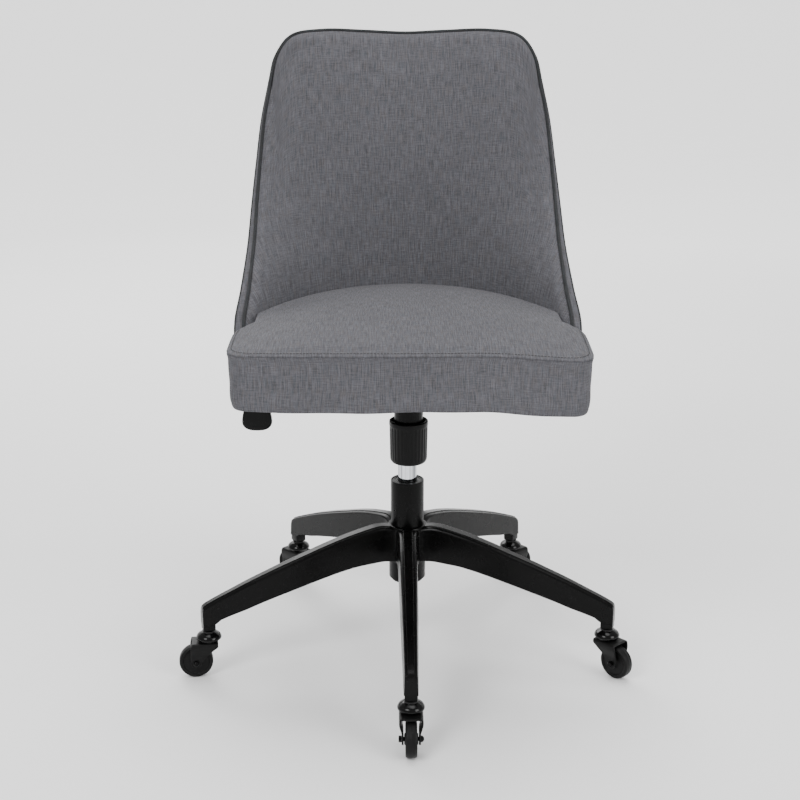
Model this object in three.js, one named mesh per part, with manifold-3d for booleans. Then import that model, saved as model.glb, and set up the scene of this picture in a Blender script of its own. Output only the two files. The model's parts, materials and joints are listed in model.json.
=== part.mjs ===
// A swivel office chair: an upholstered seat and wrap-round back on a tilt mechanism and a gas lift,
// over a five-arm cast base on swivelling castors. Millimetres, +Z up, the sitter faces -Y.
// Everything is laid out from the column's axis; the whole chair is then shifted along Y so that
// the origin lies on the floor in the middle of the chair's footprint.
import * as THREE from "three";
import { mergeVertices } from "three/addons/utils/BufferGeometryUtils.js";
import Module from "manifold-3d";

const wasm = await Module();
wasm.setup();

// ---------------------------------------------------------------- driving dimensions
const GAP = 0.3; // between pieces that touch or screw together
const COLUMN_Y = 33; // the column's axis, from the middle of the footprint

const ARM_COUNT = 5;
const ARM_REACH = 310; // column axis to castor stem
const ARM_ROOT_TOP = 204.7; // heights of the arm's top and underside at the hub and at its end
const ARM_ROOT_UNDERSIDE = 156;
const ARM_END_TOP = 109;
const ARM_END_UNDERSIDE = 92.5;
const ARM_ROOT_WIDTH = 25.4;
const ARM_END_WIDTH = 17.2;
const ARM_DRAFT = 0.035; // each side leans in by this much per mm of height
const ARM_WALL = 3.5;
const LEG_LENGTH_RADIAL = 18.6; // the leg at the arm's end that holds the castor
const LEG_BOTTOM = 76;

const HUB_RADIUS = 30;
const HUB_BOSS_RADIUS = 27.5;
const HUB_BOTTOM = 117;
const HUB_TOP = 203;

const TUBE_RADIUS = 25; // the gas lift's stand tube
const TUBE_FOOT_RADIUS = 24.2;
const TUBE_WALL = 2;
const TUBE_BOTTOM = 113;
const TUBE_TOP = 273;
const CYLINDER_RADIUS = 14; // the chromed pressure tube that slides in it
const CYLINDER_WALL = 1.6;
const CYLINDER_GUIDED = 60; // length still inside the stand tube at full height
const LIFT_STROKE = 80;
const ROD_RADIUS = 5;
const BEARING_HEIGHT = 8;
const VALVE_RADIUS = 4;
const VALVE_PROUD = 6;

const CASTOR_WHEEL_RADIUS = 25;
const CASTOR_TREAD_WIDTH = 16;
const CASTOR_HUB_WIDTH = 19;
const CASTOR_TRAIL = 20; // stem axis to wheel axle
const CASTOR_FORK_WIDTH = 32.8;
const CASTOR_FORK_FOOT_WIDTH = 25.4;
const CASTOR_SHEET = 2.5;
const CASTOR_DOME_RADIUS = 19;
const CASTOR_AXLE_RADIUS = 3;
const CASTOR_STEM_RADIUS = 5.5;
const CASTOR_STEM_DEPTH = 36;
const CASTOR_YAWS = [0, 42, 131, 225, 278]; // degrees that each castor trails round from -Y

const SEAT_BOTTOM = 454;
const SEAT_SEAM = 531; // height of the seam round the top of the seat
const SEAT_CROWN = 20; // the cushion's middle over its seam
const SEAT_FRONT = 262; // column axis to the seat's front
const SEAT_FRONT_BOW = 11; // how far the front's corners lie behind its middle
const SEAT_HALF_WIDTH = 238;
const SEAT_CORNER = 30;
const SEAT_SHOULDER = 78; // where the seat steps in for the wings, in front of the column
const SEAT_SKIRT = 12; // foam and cover around the board's edge
const BOARD_THICKNESS = 15;
const DUST_COVER_THICKNESS = 1;

const SHELL_TOP = 912; // the back's top edge on its centre line, without the welt
const SHELL_TOP_CORNER = SHELL_TOP - 71; // where the wings' edges turn into the top edge
const SHELL_HALF_WIDTH = SEAT_HALF_WIDTH + 11; // over the wings
const SHELL_CORNER_HALF = SHELL_HALF_WIDTH - 38;
const SHELL_COVER = 6; // outer cover, laminated shell, and the padding at the rim and in the middle
const SHELL_PLY = 11;
const SHELL_RIM_THICKNESS = 24;
const SHELL_MIDDLE_THICKNESS = 46;
const WELT_RADIUS = 2.6;
const WELT_CLEARANCE = 0.8;

const PLATE_THICKNESS = 3; // pressed steel of the mechanism
const PLATE_HALF_WIDTH = 90;
const PLATE_FRONT = 130;
const PLATE_REAR = 95;
const HOUSING_HALF_WIDTH = 40;
const HOUSING_FLOOR = 416;
const HOUSING_FRONT = 122;
const HOUSING_REAR = 46;
const PIVOT_Y = -35; // the tilt axle
const PIVOT_Z = 434;
const PIVOT_RADIUS = 5;
const SOCKET_BOTTOM = 390; // the tapered socket that sits on the pressure tube
const SOCKET_TOP = 424;
const SOCKET_RADIUS = 18;

const TENSION_Y = -95; // the tension bolt's axis
const TENSION_HEAD_Z = 438;
const TENSION_BOLT_RADIUS = 4;
const SPRING_TUBE_RADIUS = 20.5;
const SPRING_TUBE_BOTTOM = 372;
const KNOB_RADIUS = 28;
const KNOB_WALL = 3;
const KNOB_BOTTOM = 334;
const KNOB_TOP = 396;
const KNOB_FLOOR = 12;

const LEVER_RADIUS = 4;
const LEVER_Z = SOCKET_TOP + VALVE_PROUD + LEVER_RADIUS - 1.5;
const LEVER_HOLE_HALF = 5.5;
const PADDLE_X = -223;
const PADDLE_BOTTOM = 351;
const PADDLE_HEIGHT = 52;
const PADDLE_WIDTH = 45;
const PADDLE_THICKNESS = 16;

const MECHANISM_BOLT_RADIUS = 3;
const MECHANISM_BOLT_X = 74;
const MECHANISM_BOLTS_Y = [-108, 76];
const BACK_BOLT_RADIUS = 3;
const BACK_BOLT_LENGTH = 62;

// ---------------------------------------------------------------- finishes
const finish = (color, roughness, metalness = 0) =>
  new THREE.MeshStandardMaterial({ color, roughness, metalness });
const FABRIC = finish(0x67676b, 0.95);
const WELT_FABRIC = finish(0x3c4247, 0.9);
const PLYWOOD = finish(0xb99a6b, 0.7);
const DUST_CLOTH = finish(0x1b1b1c, 0.95);
const BLACK_CAST = finish(0x141416, 0.4, 0.3);
const BLACK_STEEL = finish(0x17171a, 0.35, 0.5);
const BLACK_PLASTIC = finish(0x161617, 0.5);
const CHROME = finish(0xc9ccd0, 0.12, 1);
const BARE_STEEL = finish(0x8d9094, 0.3, 1);
const RUBBER = finish(0x1c1c1d, 0.8);

// ---------------------------------------------------------------- shaping helpers
/** A closed geometry as a manifold-3d solid. */
function solidOf(geometry) {
  const bare = geometry.clone();
  bare.deleteAttribute("normal");
  bare.deleteAttribute("uv");
  const merged = mergeVertices(bare, 1e-3);
  return new wasm.Manifold(
    new wasm.Mesh({
      numProp: 3,
      vertProperties: new Float32Array(merged.attributes.position.array),
      triVerts: new Uint32Array(merged.index.array),
    }),
  );
}

/** A manifold-3d solid as a geometry. */
function geometryOf(solid) {
  const mesh = solid.getMesh();
  return new THREE.BufferGeometry()
    .setAttribute("position", new THREE.BufferAttribute(mesh.vertProperties, 3))
    .setIndex(new THREE.BufferAttribute(mesh.triVerts, 1));
}

/** The first geometry with the others taken away. */
function cut(geometry, ...tools) {
  return geometryOf(tools.reduce((left, tool) => left.subtract(solidOf(tool)), solidOf(geometry)));
}

/** The geometries joined into one. */
function join(geometry, ...others) {
  return geometryOf(others.reduce((whole, other) => whole.add(solidOf(other)), solidOf(geometry)));
}

/** What two geometries have in common. */
function common(geometry, other) {
  return geometryOf(solidOf(geometry).intersect(solidOf(other)));
}

/** Turns a profile of [radius, height] points, bottom to top on the outside, round the Z axis. */
function turned(profile, segments = 24) {
  const points = profile.map(([radius, height]) => new THREE.Vector2(radius, height));
  const lathe = new THREE.LatheGeometry(points, segments);
  return lathe.rotateX(Math.PI / 2);
}

/** A ring between two radii, closed on itself. */
function tubeBetween(inner, outer, bottom, top, segments = 24) {
  return turned(
    [[inner, bottom], [outer, bottom], [outer, top], [inner, top], [inner, bottom]],
    segments,
  );
}

/** A round bar along Z. */
function bar(radius, bottom, top, segments = 12) {
  return turned([[0, bottom], [radius, bottom], [radius, top], [0, top]], segments);
}

/** A box from its lowest and highest corners. */
function block(low, high) {
  const size = high.map((value, axis) => value - low[axis]);
  const middle = high.map((value, axis) => (value + low[axis]) / 2);
  return new THREE.BoxGeometry(...size).translate(...middle);
}

/** An outline of [x, y] points raised from one height to another. */
function raised(outline, bottom, top) {
  const shape = new THREE.Shape(outline.map(([x, y]) => new THREE.Vector2(x, y)));
  const geometry = new THREE.ExtrudeGeometry(shape, { depth: top - bottom, bevelEnabled: false });
  return geometry.translate(0, 0, bottom);
}

/** An outline of [y, z] points drawn out along X between two planes. */
function drawnOut(outline, low, high) {
  return raised(outline, low, high).rotateX(Math.PI / 2).rotateZ(Math.PI / 2);
}

/** A round or polygonal section swept along a curve, with closed ends. */
function swept(curve, radius, sides, steps) {
  const section = new THREE.Shape(
    Array.from({ length: sides }, (_, i) => {
      const angle = (2 * Math.PI * i) / sides;
      return new THREE.Vector2(radius * Math.cos(angle), radius * Math.sin(angle));
    }),
  );
  return new THREE.ExtrudeGeometry(section, { steps, extrudePath: curve, bevelEnabled: false });
}

/** Moves every vertex of a geometry by a function of its place. */
function reshape(geometry, place) {
  const positions = geometry.attributes.position;
  const point = new THREE.Vector3();
  for (let i = 0; i < positions.count; i++) {
    point.fromBufferAttribute(positions, i);
    place(point);
    positions.setXYZ(i, point.x, point.y, point.z);
  }
  return geometry;
}

/** A closed skin through rings of points, one beyond the other, with an end across the first and
    the last. A ring may run out along one side of a layer and turn back along the other: past
    the turn the facets are split the other way, so that the faces of two layers that meet are
    split alike, and the ends are strips from one side to the other. */
function lofted(rings, turnBack = 0) {
  const around = rings[0].length;
  const last = (rings.length - 1) * around;
  const vertices = rings.flat();
  const faces = [];
  for (let k = 0; k + 1 < rings.length; k++) {
    for (let i = 0; i < around; i++) {
      const [a, b] = [k * around + i, k * around + ((i + 1) % around)];
      if (i < turnBack) faces.push(a, b, b + around, a, b + around, a + around);
      else faces.push(a, b, a + around, b, b + around, a + around);
    }
  }
  if (turnBack) {
    for (let i = 0; i + 1 < turnBack; i++) {
      const [a, b, c, d] = [i, i + 1, around - 2 - i, around - 1 - i];
      faces.push(a, c, b, a, d, c, last + a, last + b, last + c, last + a, last + c, last + d);
    }
  } else {
    const middles = [vertices.length, vertices.length + 1];
    vertices.push(middleOf(rings[0]), middleOf(rings.at(-1)));
    for (let i = 0; i < around; i++) {
      const next = (i + 1) % around;
      faces.push(middles[0], next, i, middles[1], last + i, last + next);
    }
  }
  return new THREE.BufferGeometry()
    .setAttribute("position", new THREE.Float32BufferAttribute(vertices.flat(), 3))
    .setIndex(faces);
}

/** The mean of a ring of points. */
function middleOf(ring) {
  return [0, 1, 2].map((axis) => ring.reduce((sum, p) => sum + p[axis], 0) / ring.length);
}

/** The share of the way from one value to another, eased at both ends. */
function eased(value, low, high) {
  return THREE.MathUtils.smoothstep(value, low, high);
}

// ---------------------------------------------------------------- the assembly
const chair = new THREE.Group();
chair.position.y = COLUMN_Y;

/** Adds one named piece. */
function piece(name, geometry, material, parent = chair) {
  const mesh = new THREE.Mesh(geometry, material);
  mesh.name = name;
  parent.add(mesh);
  return mesh;
}

// ---------------------------------------------------------------- five-arm base
/** The arm's top and underside, as curves of radius against height. */
const armTop = new THREE.QuadraticBezierCurve(
  new THREE.Vector2(HUB_BOSS_RADIUS, ARM_ROOT_TOP),
  new THREE.Vector2(ARM_REACH * 0.56, ARM_ROOT_TOP - 28),
  new THREE.Vector2(ARM_REACH + LEG_LENGTH_RADIAL / 2, ARM_END_TOP),
);
const armUnderside = new THREE.QuadraticBezierCurve(
  new THREE.Vector2(HUB_BOSS_RADIUS, ARM_ROOT_UNDERSIDE),
  new THREE.Vector2(ARM_REACH * 0.42, ARM_ROOT_UNDERSIDE - 4),
  new THREE.Vector2(ARM_REACH - LEG_LENGTH_RADIAL / 2, ARM_END_UNDERSIDE),
);
const ARM_STEPS = 6;

/** Half of the arm's width: it tapers outwards, and its sides lean in upwards. */
function armHalfWidth(radius, height) {
  const along = (radius - HUB_RADIUS) / (ARM_REACH - HUB_RADIUS);
  const middle = THREE.MathUtils.lerp(ARM_ROOT_WIDTH, ARM_END_WIDTH, along) / 2;
  const level = THREE.MathUtils.lerp(ARM_ROOT_UNDERSIDE, ARM_END_UNDERSIDE, along);
  return middle - ARM_DRAFT * (height - level);
}

/** A side view in radius and height, given the arm's width less a wall on each side. */
function armSlab(sideView, wall) {
  const slab = new THREE.ExtrudeGeometry(new THREE.Shape(sideView), { depth: 1, bevelEnabled: false });
  return reshape(slab.rotateX(Math.PI / 2), (p) => {
    const side = p.y < -0.5 ? -1 : 1;
    p.y = side * (armHalfWidth(p.x, p.z) - wall);
  });
}

/** One arm along +X, open underneath, with the leg that holds a castor stem. */
function arm() {
  const outerFace = ARM_REACH + LEG_LENGTH_RADIAL / 2;
  const innerFace = ARM_REACH - LEG_LENGTH_RADIAL / 2;
  const sideView = [
    ...armTop.getPoints(ARM_STEPS),
    new THREE.Vector2(outerFace, LEG_BOTTOM),
    new THREE.Vector2(innerFace, LEG_BOTTOM),
    ...armUnderside.getPoints(ARM_STEPS).reverse(),
  ];
  const lift = (p, rise) => new THREE.Vector2(p.x, p.y + rise);
  const channelStart = HUB_RADIUS + ARM_WALL;
  const channelEnd = innerFace - 2;
  const inChannel = (p) => p.x > channelStart && p.x < channelEnd;
  const channel = [
    ...armTop.getPoints(ARM_STEPS).filter(inChannel).map((p) => lift(p, -ARM_WALL)),
    ...armUnderside.getPoints(ARM_STEPS).filter(inChannel).reverse().map((p) => lift(p, -ARM_WALL)),
  ];
  const stemHole = bar(CASTOR_STEM_RADIUS + GAP, LEG_BOTTOM - 1, LEG_BOTTOM + CASTOR_STEM_DEPTH - 4);
  return cut(armSlab(sideView, 0), armSlab(channel, ARM_WALL), stemHole.translate(ARM_REACH, 0, 0));
}

/** The hub: a boss with rounded lower edge, wider where the arms join it, bored for the stand tube. */
function hub() {
  const edge = 5;
  return turned(
    [
      [0, HUB_BOTTOM],
      [HUB_BOSS_RADIUS - edge, HUB_BOTTOM],
      [HUB_BOSS_RADIUS - edge * 0.3, HUB_BOTTOM + edge * 0.3],
      [HUB_BOSS_RADIUS, HUB_BOTTOM + edge],
      [HUB_BOSS_RADIUS, ARM_ROOT_UNDERSIDE - 6],
      [HUB_RADIUS, ARM_ROOT_UNDERSIDE],
      [HUB_RADIUS, HUB_TOP - 1.5],
      [HUB_RADIUS - 1.5, HUB_TOP],
      [0, HUB_TOP],
    ],
    24,
  );
}

/** The stand tube's outside radius at a height: parallel above the hub, tapered inside it. */
function tubeRadiusAt(height) {
  const along = (height - TUBE_BOTTOM) / (HUB_TOP - TUBE_BOTTOM);
  return THREE.MathUtils.lerp(TUBE_FOOT_RADIUS, TUBE_RADIUS, Math.min(1, along));
}

function starBase() {
  const arms = Array.from({ length: ARM_COUNT }, (_, i) =>
    arm().rotateZ(-Math.PI / 2 + (2 * Math.PI * i) / ARM_COUNT),
  );
  const [low, high] = [HUB_BOTTOM - 1, ARM_ROOT_TOP + 2];
  const bore = turned(
    [
      [0, low],
      [tubeRadiusAt(low) + GAP, low],
      [TUBE_RADIUS + GAP, HUB_TOP],
      [TUBE_RADIUS + GAP, high],
      [0, high],
    ],
    24,
  );
  return cut(join(hub(), ...arms), bore);
}
piece("star_base", starBase(), BLACK_CAST);

// ---------------------------------------------------------------- gas lift
const guideInner = CYLINDER_RADIUS + GAP;
const tubeInner = TUBE_RADIUS - TUBE_WALL;
const tubeFloor = TUBE_BOTTOM + 4;
const guideBottom = TUBE_TOP - CYLINDER_GUIDED - 10;
const cylinderBottom = TUBE_TOP - CYLINDER_GUIDED;

/** The stand tube, with a floor that the rod's end passes through. */
function standTube() {
  const holeRadius = ROD_RADIUS + GAP;
  const footInner = TUBE_FOOT_RADIUS - TUBE_WALL;
  return turned(
    [
      [holeRadius, TUBE_BOTTOM],
      [TUBE_FOOT_RADIUS, TUBE_BOTTOM],
      [TUBE_RADIUS, HUB_TOP],
      [TUBE_RADIUS, TUBE_TOP],
      [tubeInner, TUBE_TOP],
      [tubeInner, HUB_TOP],
      [footInner, tubeFloor],
      [holeRadius, tubeFloor],
      [holeRadius, TUBE_BOTTOM],
    ],
    24,
  );
}

/** The plastic bush that guides the pressure tube, with a dished top. */
function guideBush() {
  const outer = tubeInner - GAP;
  return turned(
    [
      [guideInner, guideBottom],
      [outer, guideBottom],
      [outer, TUBE_TOP - 1],
      [outer - 2, TUBE_TOP - 0.5],
      [guideInner + 3, TUBE_TOP - 2.5],
      [guideInner, TUBE_TOP - 2.5],
      [guideInner, guideBottom],
    ],
    24,
  );
}

/** The pressure tube: open below for the rod, tapered above to wedge in the mechanism's socket. */
function pressureTube() {
  const inner = CYLINDER_RADIUS - CYLINDER_WALL;
  const neck = ROD_RADIUS + 2 * GAP;
  const valveBore = VALVE_RADIUS + GAP;
  const taperTop = CYLINDER_RADIUS - 1.2;
  return turned(
    [
      [neck, cylinderBottom],
      [CYLINDER_RADIUS - 1, cylinderBottom],
      [CYLINDER_RADIUS, cylinderBottom + 1.5],
      [CYLINDER_RADIUS, SOCKET_BOTTOM],
      [taperTop, SOCKET_TOP - 1],
      [valveBore, SOCKET_TOP - 1],
      [valveBore, SOCKET_TOP - 16],
      [inner, SOCKET_TOP - 18],
      [inner, cylinderBottom + 6],
      [neck, cylinderBottom + 6],
      [neck, cylinderBottom],
    ],
    24,
  );
}

/** The rod and its piston, held at the stand tube's floor. */
function pistonRod() {
  const pistonRadius = CYLINDER_RADIUS - CYLINDER_WALL - GAP;
  const pistonBottom = cylinderBottom + 8;
  const foot = TUBE_BOTTOM - 7;
  return turned(
    [
      [0, foot],
      [ROD_RADIUS, foot],
      [ROD_RADIUS, pistonBottom],
      [pistonRadius, pistonBottom],
      [pistonRadius, pistonBottom + 10],
      [0, pistonBottom + 10],
    ],
    16,
  );
}

piece("stand_tube", standTube(), BLACK_STEEL);
piece("guide_bush", guideBush(), BLACK_PLASTIC);
piece("pressure_tube", pressureTube(), CHROME);
piece("piston_rod", pistonRod(), BARE_STEEL);
piece(
  "thrust_bearing",
  tubeBetween(ROD_RADIUS + GAP, 14, tubeFloor + GAP, tubeFloor + GAP + BEARING_HEIGHT, 20),
  BARE_STEEL,
);
piece(
  "rod_clip",
  tubeBetween(ROD_RADIUS + GAP, 9, TUBE_BOTTOM - GAP - 1.5, TUBE_BOTTOM - GAP, 16),
  BARE_STEEL,
);
piece(
  "valve_pin",
  turned(
    [
      [0, SOCKET_TOP - 14],
      [VALVE_RADIUS, SOCKET_TOP - 14],
      [VALVE_RADIUS, SOCKET_TOP + VALVE_PROUD - 3],
      [VALVE_RADIUS - 1.5, SOCKET_TOP + VALVE_PROUD - 1.5 - GAP],
      [0, SOCKET_TOP + VALVE_PROUD - 1.5 - GAP],
    ],
    12,
  ),
  BARE_STEEL,
);

// ---------------------------------------------------------------- castors
const wheelTop = 2 * CASTOR_WHEEL_RADIUS;
const bridgeBottom = wheelTop + 3.5;
const bridgeTop = bridgeBottom + CASTOR_SHEET + 1;
const domeBottom = bridgeTop + GAP;

/** The wheel, turned about its axle and stood upright: a tread, dished sides and a hub. */
function castorWheel() {
  const tread = CASTOR_TREAD_WIDTH / 2;
  const boss = CASTOR_HUB_WIDTH / 2;
  const radius = CASTOR_WHEEL_RADIUS;
  const bore = CASTOR_AXLE_RADIUS + GAP;
  const side = (sign) => [
    [bore, sign * boss],
    [7.5, sign * boss],
    [9, sign * (tread - 2.5)],
    [radius - 2.5, sign * tread],
    [radius, sign * (tread - 2.5)],
  ];
  const profile = [...side(-1), ...side(1).reverse(), side(-1)[0]];
  return turned(profile, 18).rotateX(-Math.PI / 2);
}

/** The fork: a bent sheet whose cheeks draw in to the axle, trimmed to its side view. */
function castorFork() {
  const half = CASTOR_FORK_WIDTH / 2;
  const foot = CASTOR_FORK_FOOT_WIDTH / 2;
  const axleZ = CASTOR_WHEEL_RADIUS;
  const eye = 8;
  const rear = -13;
  const front = CASTOR_TRAIL + eye;
  const cheek = (inset) => [
    [half - inset, bridgeBottom - 5],
    [foot - inset, axleZ + eye + 2],
    [foot - inset, axleZ - eye],
  ];
  const rightHalf = [
    [half - 2, bridgeTop],
    [half, bridgeTop - 2],
    ...cheek(0),
    ...cheek(CASTOR_SHEET).reverse(),
    [half - CASTOR_SHEET, bridgeBottom],
  ];
  const leftHalf = rightHalf.map(([y, z]) => [-y, z]).reverse();
  const bent = drawnOut([...rightHalf, ...leftHalf], rear, front);
  const view = new THREE.Shape();
  view.moveTo(rear, bridgeTop + 1);
  view.lineTo(rear, bridgeBottom - 2);
  view.quadraticCurveTo(2, bridgeBottom - 14, CASTOR_TRAIL - eye, axleZ);
  view.absarc(CASTOR_TRAIL, axleZ, eye, Math.PI, 2 * Math.PI, false);
  view.lineTo(front, bridgeBottom - 6);
  view.lineTo(front - 3, bridgeTop + 1);
  const sideView = new THREE.ExtrudeGeometry(view, {
    depth: 2 * half + 2,
    bevelEnabled: false,
    curveSegments: 3,
  });
  const axleHole = bar(CASTOR_AXLE_RADIUS + GAP, -half - 1, half + 1, 10).rotateX(Math.PI / 2);
  const stemHole = bar(CASTOR_STEM_RADIUS + GAP, bridgeBottom - 1, bridgeTop + 1, 10);
  return cut(
    common(bent, sideView.rotateX(Math.PI / 2).translate(0, half + 1, 0)),
    axleHole.translate(CASTOR_TRAIL, 0, axleZ),
    stemHole,
  );
}

/** The ball-race dome that the fork turns under. */
function castorDome() {
  const hole = CASTOR_STEM_RADIUS + GAP;
  const radius = CASTOR_DOME_RADIUS;
  return turned(
    [
      [hole, domeBottom],
      [radius - 3, domeBottom],
      [radius, domeBottom + 7],
      [radius - 4, domeBottom + 14],
      [9.5, LEG_BOTTOM - GAP],
      [hole, LEG_BOTTOM - GAP],
      [hole, domeBottom],
    ],
    16,
  );
}

/** The stem, riveted over under the fork's bridge. */
function castorStem() {
  const rivet = 8;
  const top = LEG_BOTTOM + CASTOR_STEM_DEPTH - 8;
  return turned(
    [
      [0, bridgeBottom - GAP - 2],
      [rivet, bridgeBottom - GAP - 1],
      [rivet, bridgeBottom - GAP],
      [CASTOR_STEM_RADIUS, bridgeBottom - GAP],
      [CASTOR_STEM_RADIUS, top],
      [0, top],
    ],
    10,
  );
}

/** The axle bolt, with a head and a nut outside the fork's cheeks. */
function castorAxle() {
  const seat = CASTOR_FORK_FOOT_WIDTH / 2 + GAP;
  const end = seat + 4.6;
  const head = 4.6;
  const radius = CASTOR_AXLE_RADIUS;
  const profile = [
    [0, -end],
    [head, -end],
    [head, -seat],
    [radius, -seat],
    [radius, seat],
    [head, seat],
    [head, end],
    [0, end],
  ];
  return turned(profile, 10).rotateX(Math.PI / 2);
}

for (let i = 0; i < ARM_COUNT; i++) {
  const armAngle = -Math.PI / 2 + (2 * Math.PI * i) / ARM_COUNT;
  const place = [ARM_REACH * Math.cos(armAngle), ARM_REACH * Math.sin(armAngle), 0];
  const fixed = new THREE.Group();
  fixed.position.set(...place);
  const swivel = new THREE.Group();
  swivel.position.set(...place);
  swivel.rotation.z = -Math.PI / 2 + THREE.MathUtils.degToRad(CASTOR_YAWS[i]);
  chair.add(fixed, swivel);
  const number = i + 1;
  piece(`castor_stem_${number}`, castorStem(), BARE_STEEL, fixed);
  piece(`castor_dome_${number}`, castorDome(), BLACK_STEEL, fixed);
  piece(`castor_fork_${number}`, castorFork(), BLACK_STEEL, swivel);
  const axle = piece(`castor_axle_${number}`, castorAxle(), BLACK_STEEL, swivel);
  axle.position.set(CASTOR_TRAIL, 0, CASTOR_WHEEL_RADIUS);
  const wheel = piece(`castor_wheel_${number}`, castorWheel(), RUBBER, swivel);
  wheel.position.set(CASTOR_TRAIL, 0, CASTOR_WHEEL_RADIUS);
}

// ---------------------------------------------------------------- wrap-round back
// The outer face of the back, up the edge of the right wing: forward and low beside the seat,
// then sweeping back and up to where the top corner starts.
const wingEdge = new THREE.CatmullRomCurve3(
  [
    [SHELL_HALF_WIDTH - 3.5, -66, SEAT_BOTTOM],
    [SHELL_HALF_WIDTH - 2.5, -66, SEAT_BOTTOM + 41],
    [SHELL_HALF_WIDTH - 0.5, -38, SEAT_SEAM - 6],
    [SHELL_HALF_WIDTH - 5, 18, SEAT_SEAM + 29],
    [SHELL_HALF_WIDTH - 10, 95, SEAT_SEAM + 81],
    [SHELL_HALF_WIDTH - 13.5, 148, SEAT_SEAM + 137],
    [SHELL_HALF_WIDTH - 19.5, 182, SEAT_SEAM + 197],
    [SHELL_HALF_WIDTH - 27, 204, SEAT_SEAM + 257],
    [SHELL_CORNER_HALF, 220, SHELL_TOP_CORNER],
  ].map((p) => new THREE.Vector3(...p)),
);
// The top edge, from the corner in to the middle: distance from the middle against height.
const topEdge = new THREE.SplineCurve(
  [
    [SHELL_CORNER_HALF, SHELL_TOP_CORNER],
    [SHELL_CORNER_HALF - 11, SHELL_TOP - 30],
    [SHELL_CORNER_HALF - 33, SHELL_TOP - 4],
    [SHELL_CORNER_HALF * 0.62, SHELL_TOP + 4],
    [SHELL_CORNER_HALF * 0.3, SHELL_TOP + 2.5],
    [0, SHELL_TOP],
  ].map((p) => new THREE.Vector2(...p)),
);
const SPINE_BOTTOM_Y = 228; // the outer face on the centre line, below and above
const SPINE_TOP_Y = 269;
const WRAP_BOTTOM = Math.PI / 2; // how far round the plan curve turns, below and above
const WRAP_TOP = 0.55;

/** A share of the way along a curve at which one of its coordinates, which only rises, has a value. */
function shareWhere(curve, axis, value) {
  let [low, high] = [0, 1];
  for (let i = 0; i < 30; i++) {
    const middle = (low + high) / 2;
    if (curve.getPoint(middle)[axis] < value) low = middle;
    else high = middle;
  }
  return (low + high) / 2;
}

/** The top edge's height at a distance from the middle. */
function topEdgeHeight(distance) {
  const back = { getPoint: (share) => topEdge.getPoint(1 - share) };
  return topEdge.getPoint(1 - shareWhere(back, "x", distance)).y;
}

/** A point of the back's outer face: across from -1 to 1, up from 0 to 1. Without its share of
    the rise to the top edge, the face ends level with the top corners. */
function outerFace(across, up, riseShare = 1) {
  const edge = wingEdge.getPoint(up);
  const wrap = THREE.MathUtils.lerp(WRAP_BOTTOM, WRAP_TOP, eased(up, 0, 1));
  const turn = wrap * across;
  const x = (edge.x * Math.sin(turn)) / Math.sin(wrap);
  const topRise = topEdgeHeight(Math.min(Math.abs(x), SHELL_CORNER_HALF)) - SHELL_TOP_CORNER;
  const z = edge.z + riseShare * topRise * eased(up, 0.35, 1) ** 2;
  const spine = THREE.MathUtils.mapLinear(z, SEAT_BOTTOM, SHELL_TOP, SPINE_BOTTOM_Y, SPINE_TOP_Y);
  const y = spine - ((spine - edge.y) * (1 - Math.cos(turn))) / (1 - Math.cos(wrap));
  return new THREE.Vector3(x, y, z);
}

/** The direction from the outer face towards the sitter. */
function inward(across, up) {
  const step = 0.004;
  const clamp = THREE.MathUtils.clamp;
  const acrossWays = [clamp(across + step, -1, 1), clamp(across - step, -1, 1)];
  const upWays = [clamp(up + step, 0, 1), clamp(up - step, 0, 1)];
  const alongAcross = outerFace(acrossWays[0], up, 0).sub(outerFace(acrossWays[1], up, 0));
  const alongUp = outerFace(across, upWays[0], 0).sub(outerFace(across, upWays[1], 0));
  return alongAcross.cross(alongUp).normalize();
}

/** The back's whole thickness: padded in the middle, slim at its rim. */
function shellThickness(across, up) {
  const padding = (1 - across ** 4) * (1 - up ** 6);
  return THREE.MathUtils.lerp(SHELL_RIM_THICKNESS, SHELL_MIDDLE_THICKNESS, padding);
}

/** A point at a depth under the outer face. */
function within(across, up, depth) {
  return outerFace(across, up).addScaledVector(inward(across, up), depth);
}

const RIM = 0.02; // the shell stops short of the rim by this share, and the covers close round it
/** Shares of the way over the back, with one more near each end where the shell stops. */
function gridLine(steps, low, easing) {
  const inner = Array.from({ length: steps + 1 }, (_, i) => {
    const even = (2 * i) / steps - 1;
    return (1 + easing) * even - easing * even ** 3;
  });
  const share = (value) => THREE.MathUtils.mapLinear(value, -1, 1, low, 1);
  return [share(-1), ...inner.map((v) => share(v * (1 - (2 * RIM) / (1 - low)))), share(1)];
}
const ACROSS = gridLine(14, -1, 0.2);
const UP = gridLine(8, 0, 0);

/** One layer of the back between two depths under the outer face, less some rows at the rim. */
function shellLayer(outerDepth, innerDepth, rows = 0) {
  const across = ACROSS.slice(rows, ACROSS.length - rows);
  const ups = UP.slice(rows, UP.length - rows);
  const face = (a, depth) => ups.map((up) => within(a, up, depth(a, up)).toArray());
  const ring = (a) => [...face(a, outerDepth), ...face(a, innerDepth).reverse()];
  return lofted(across.map(ring), ups.length);
}

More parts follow.
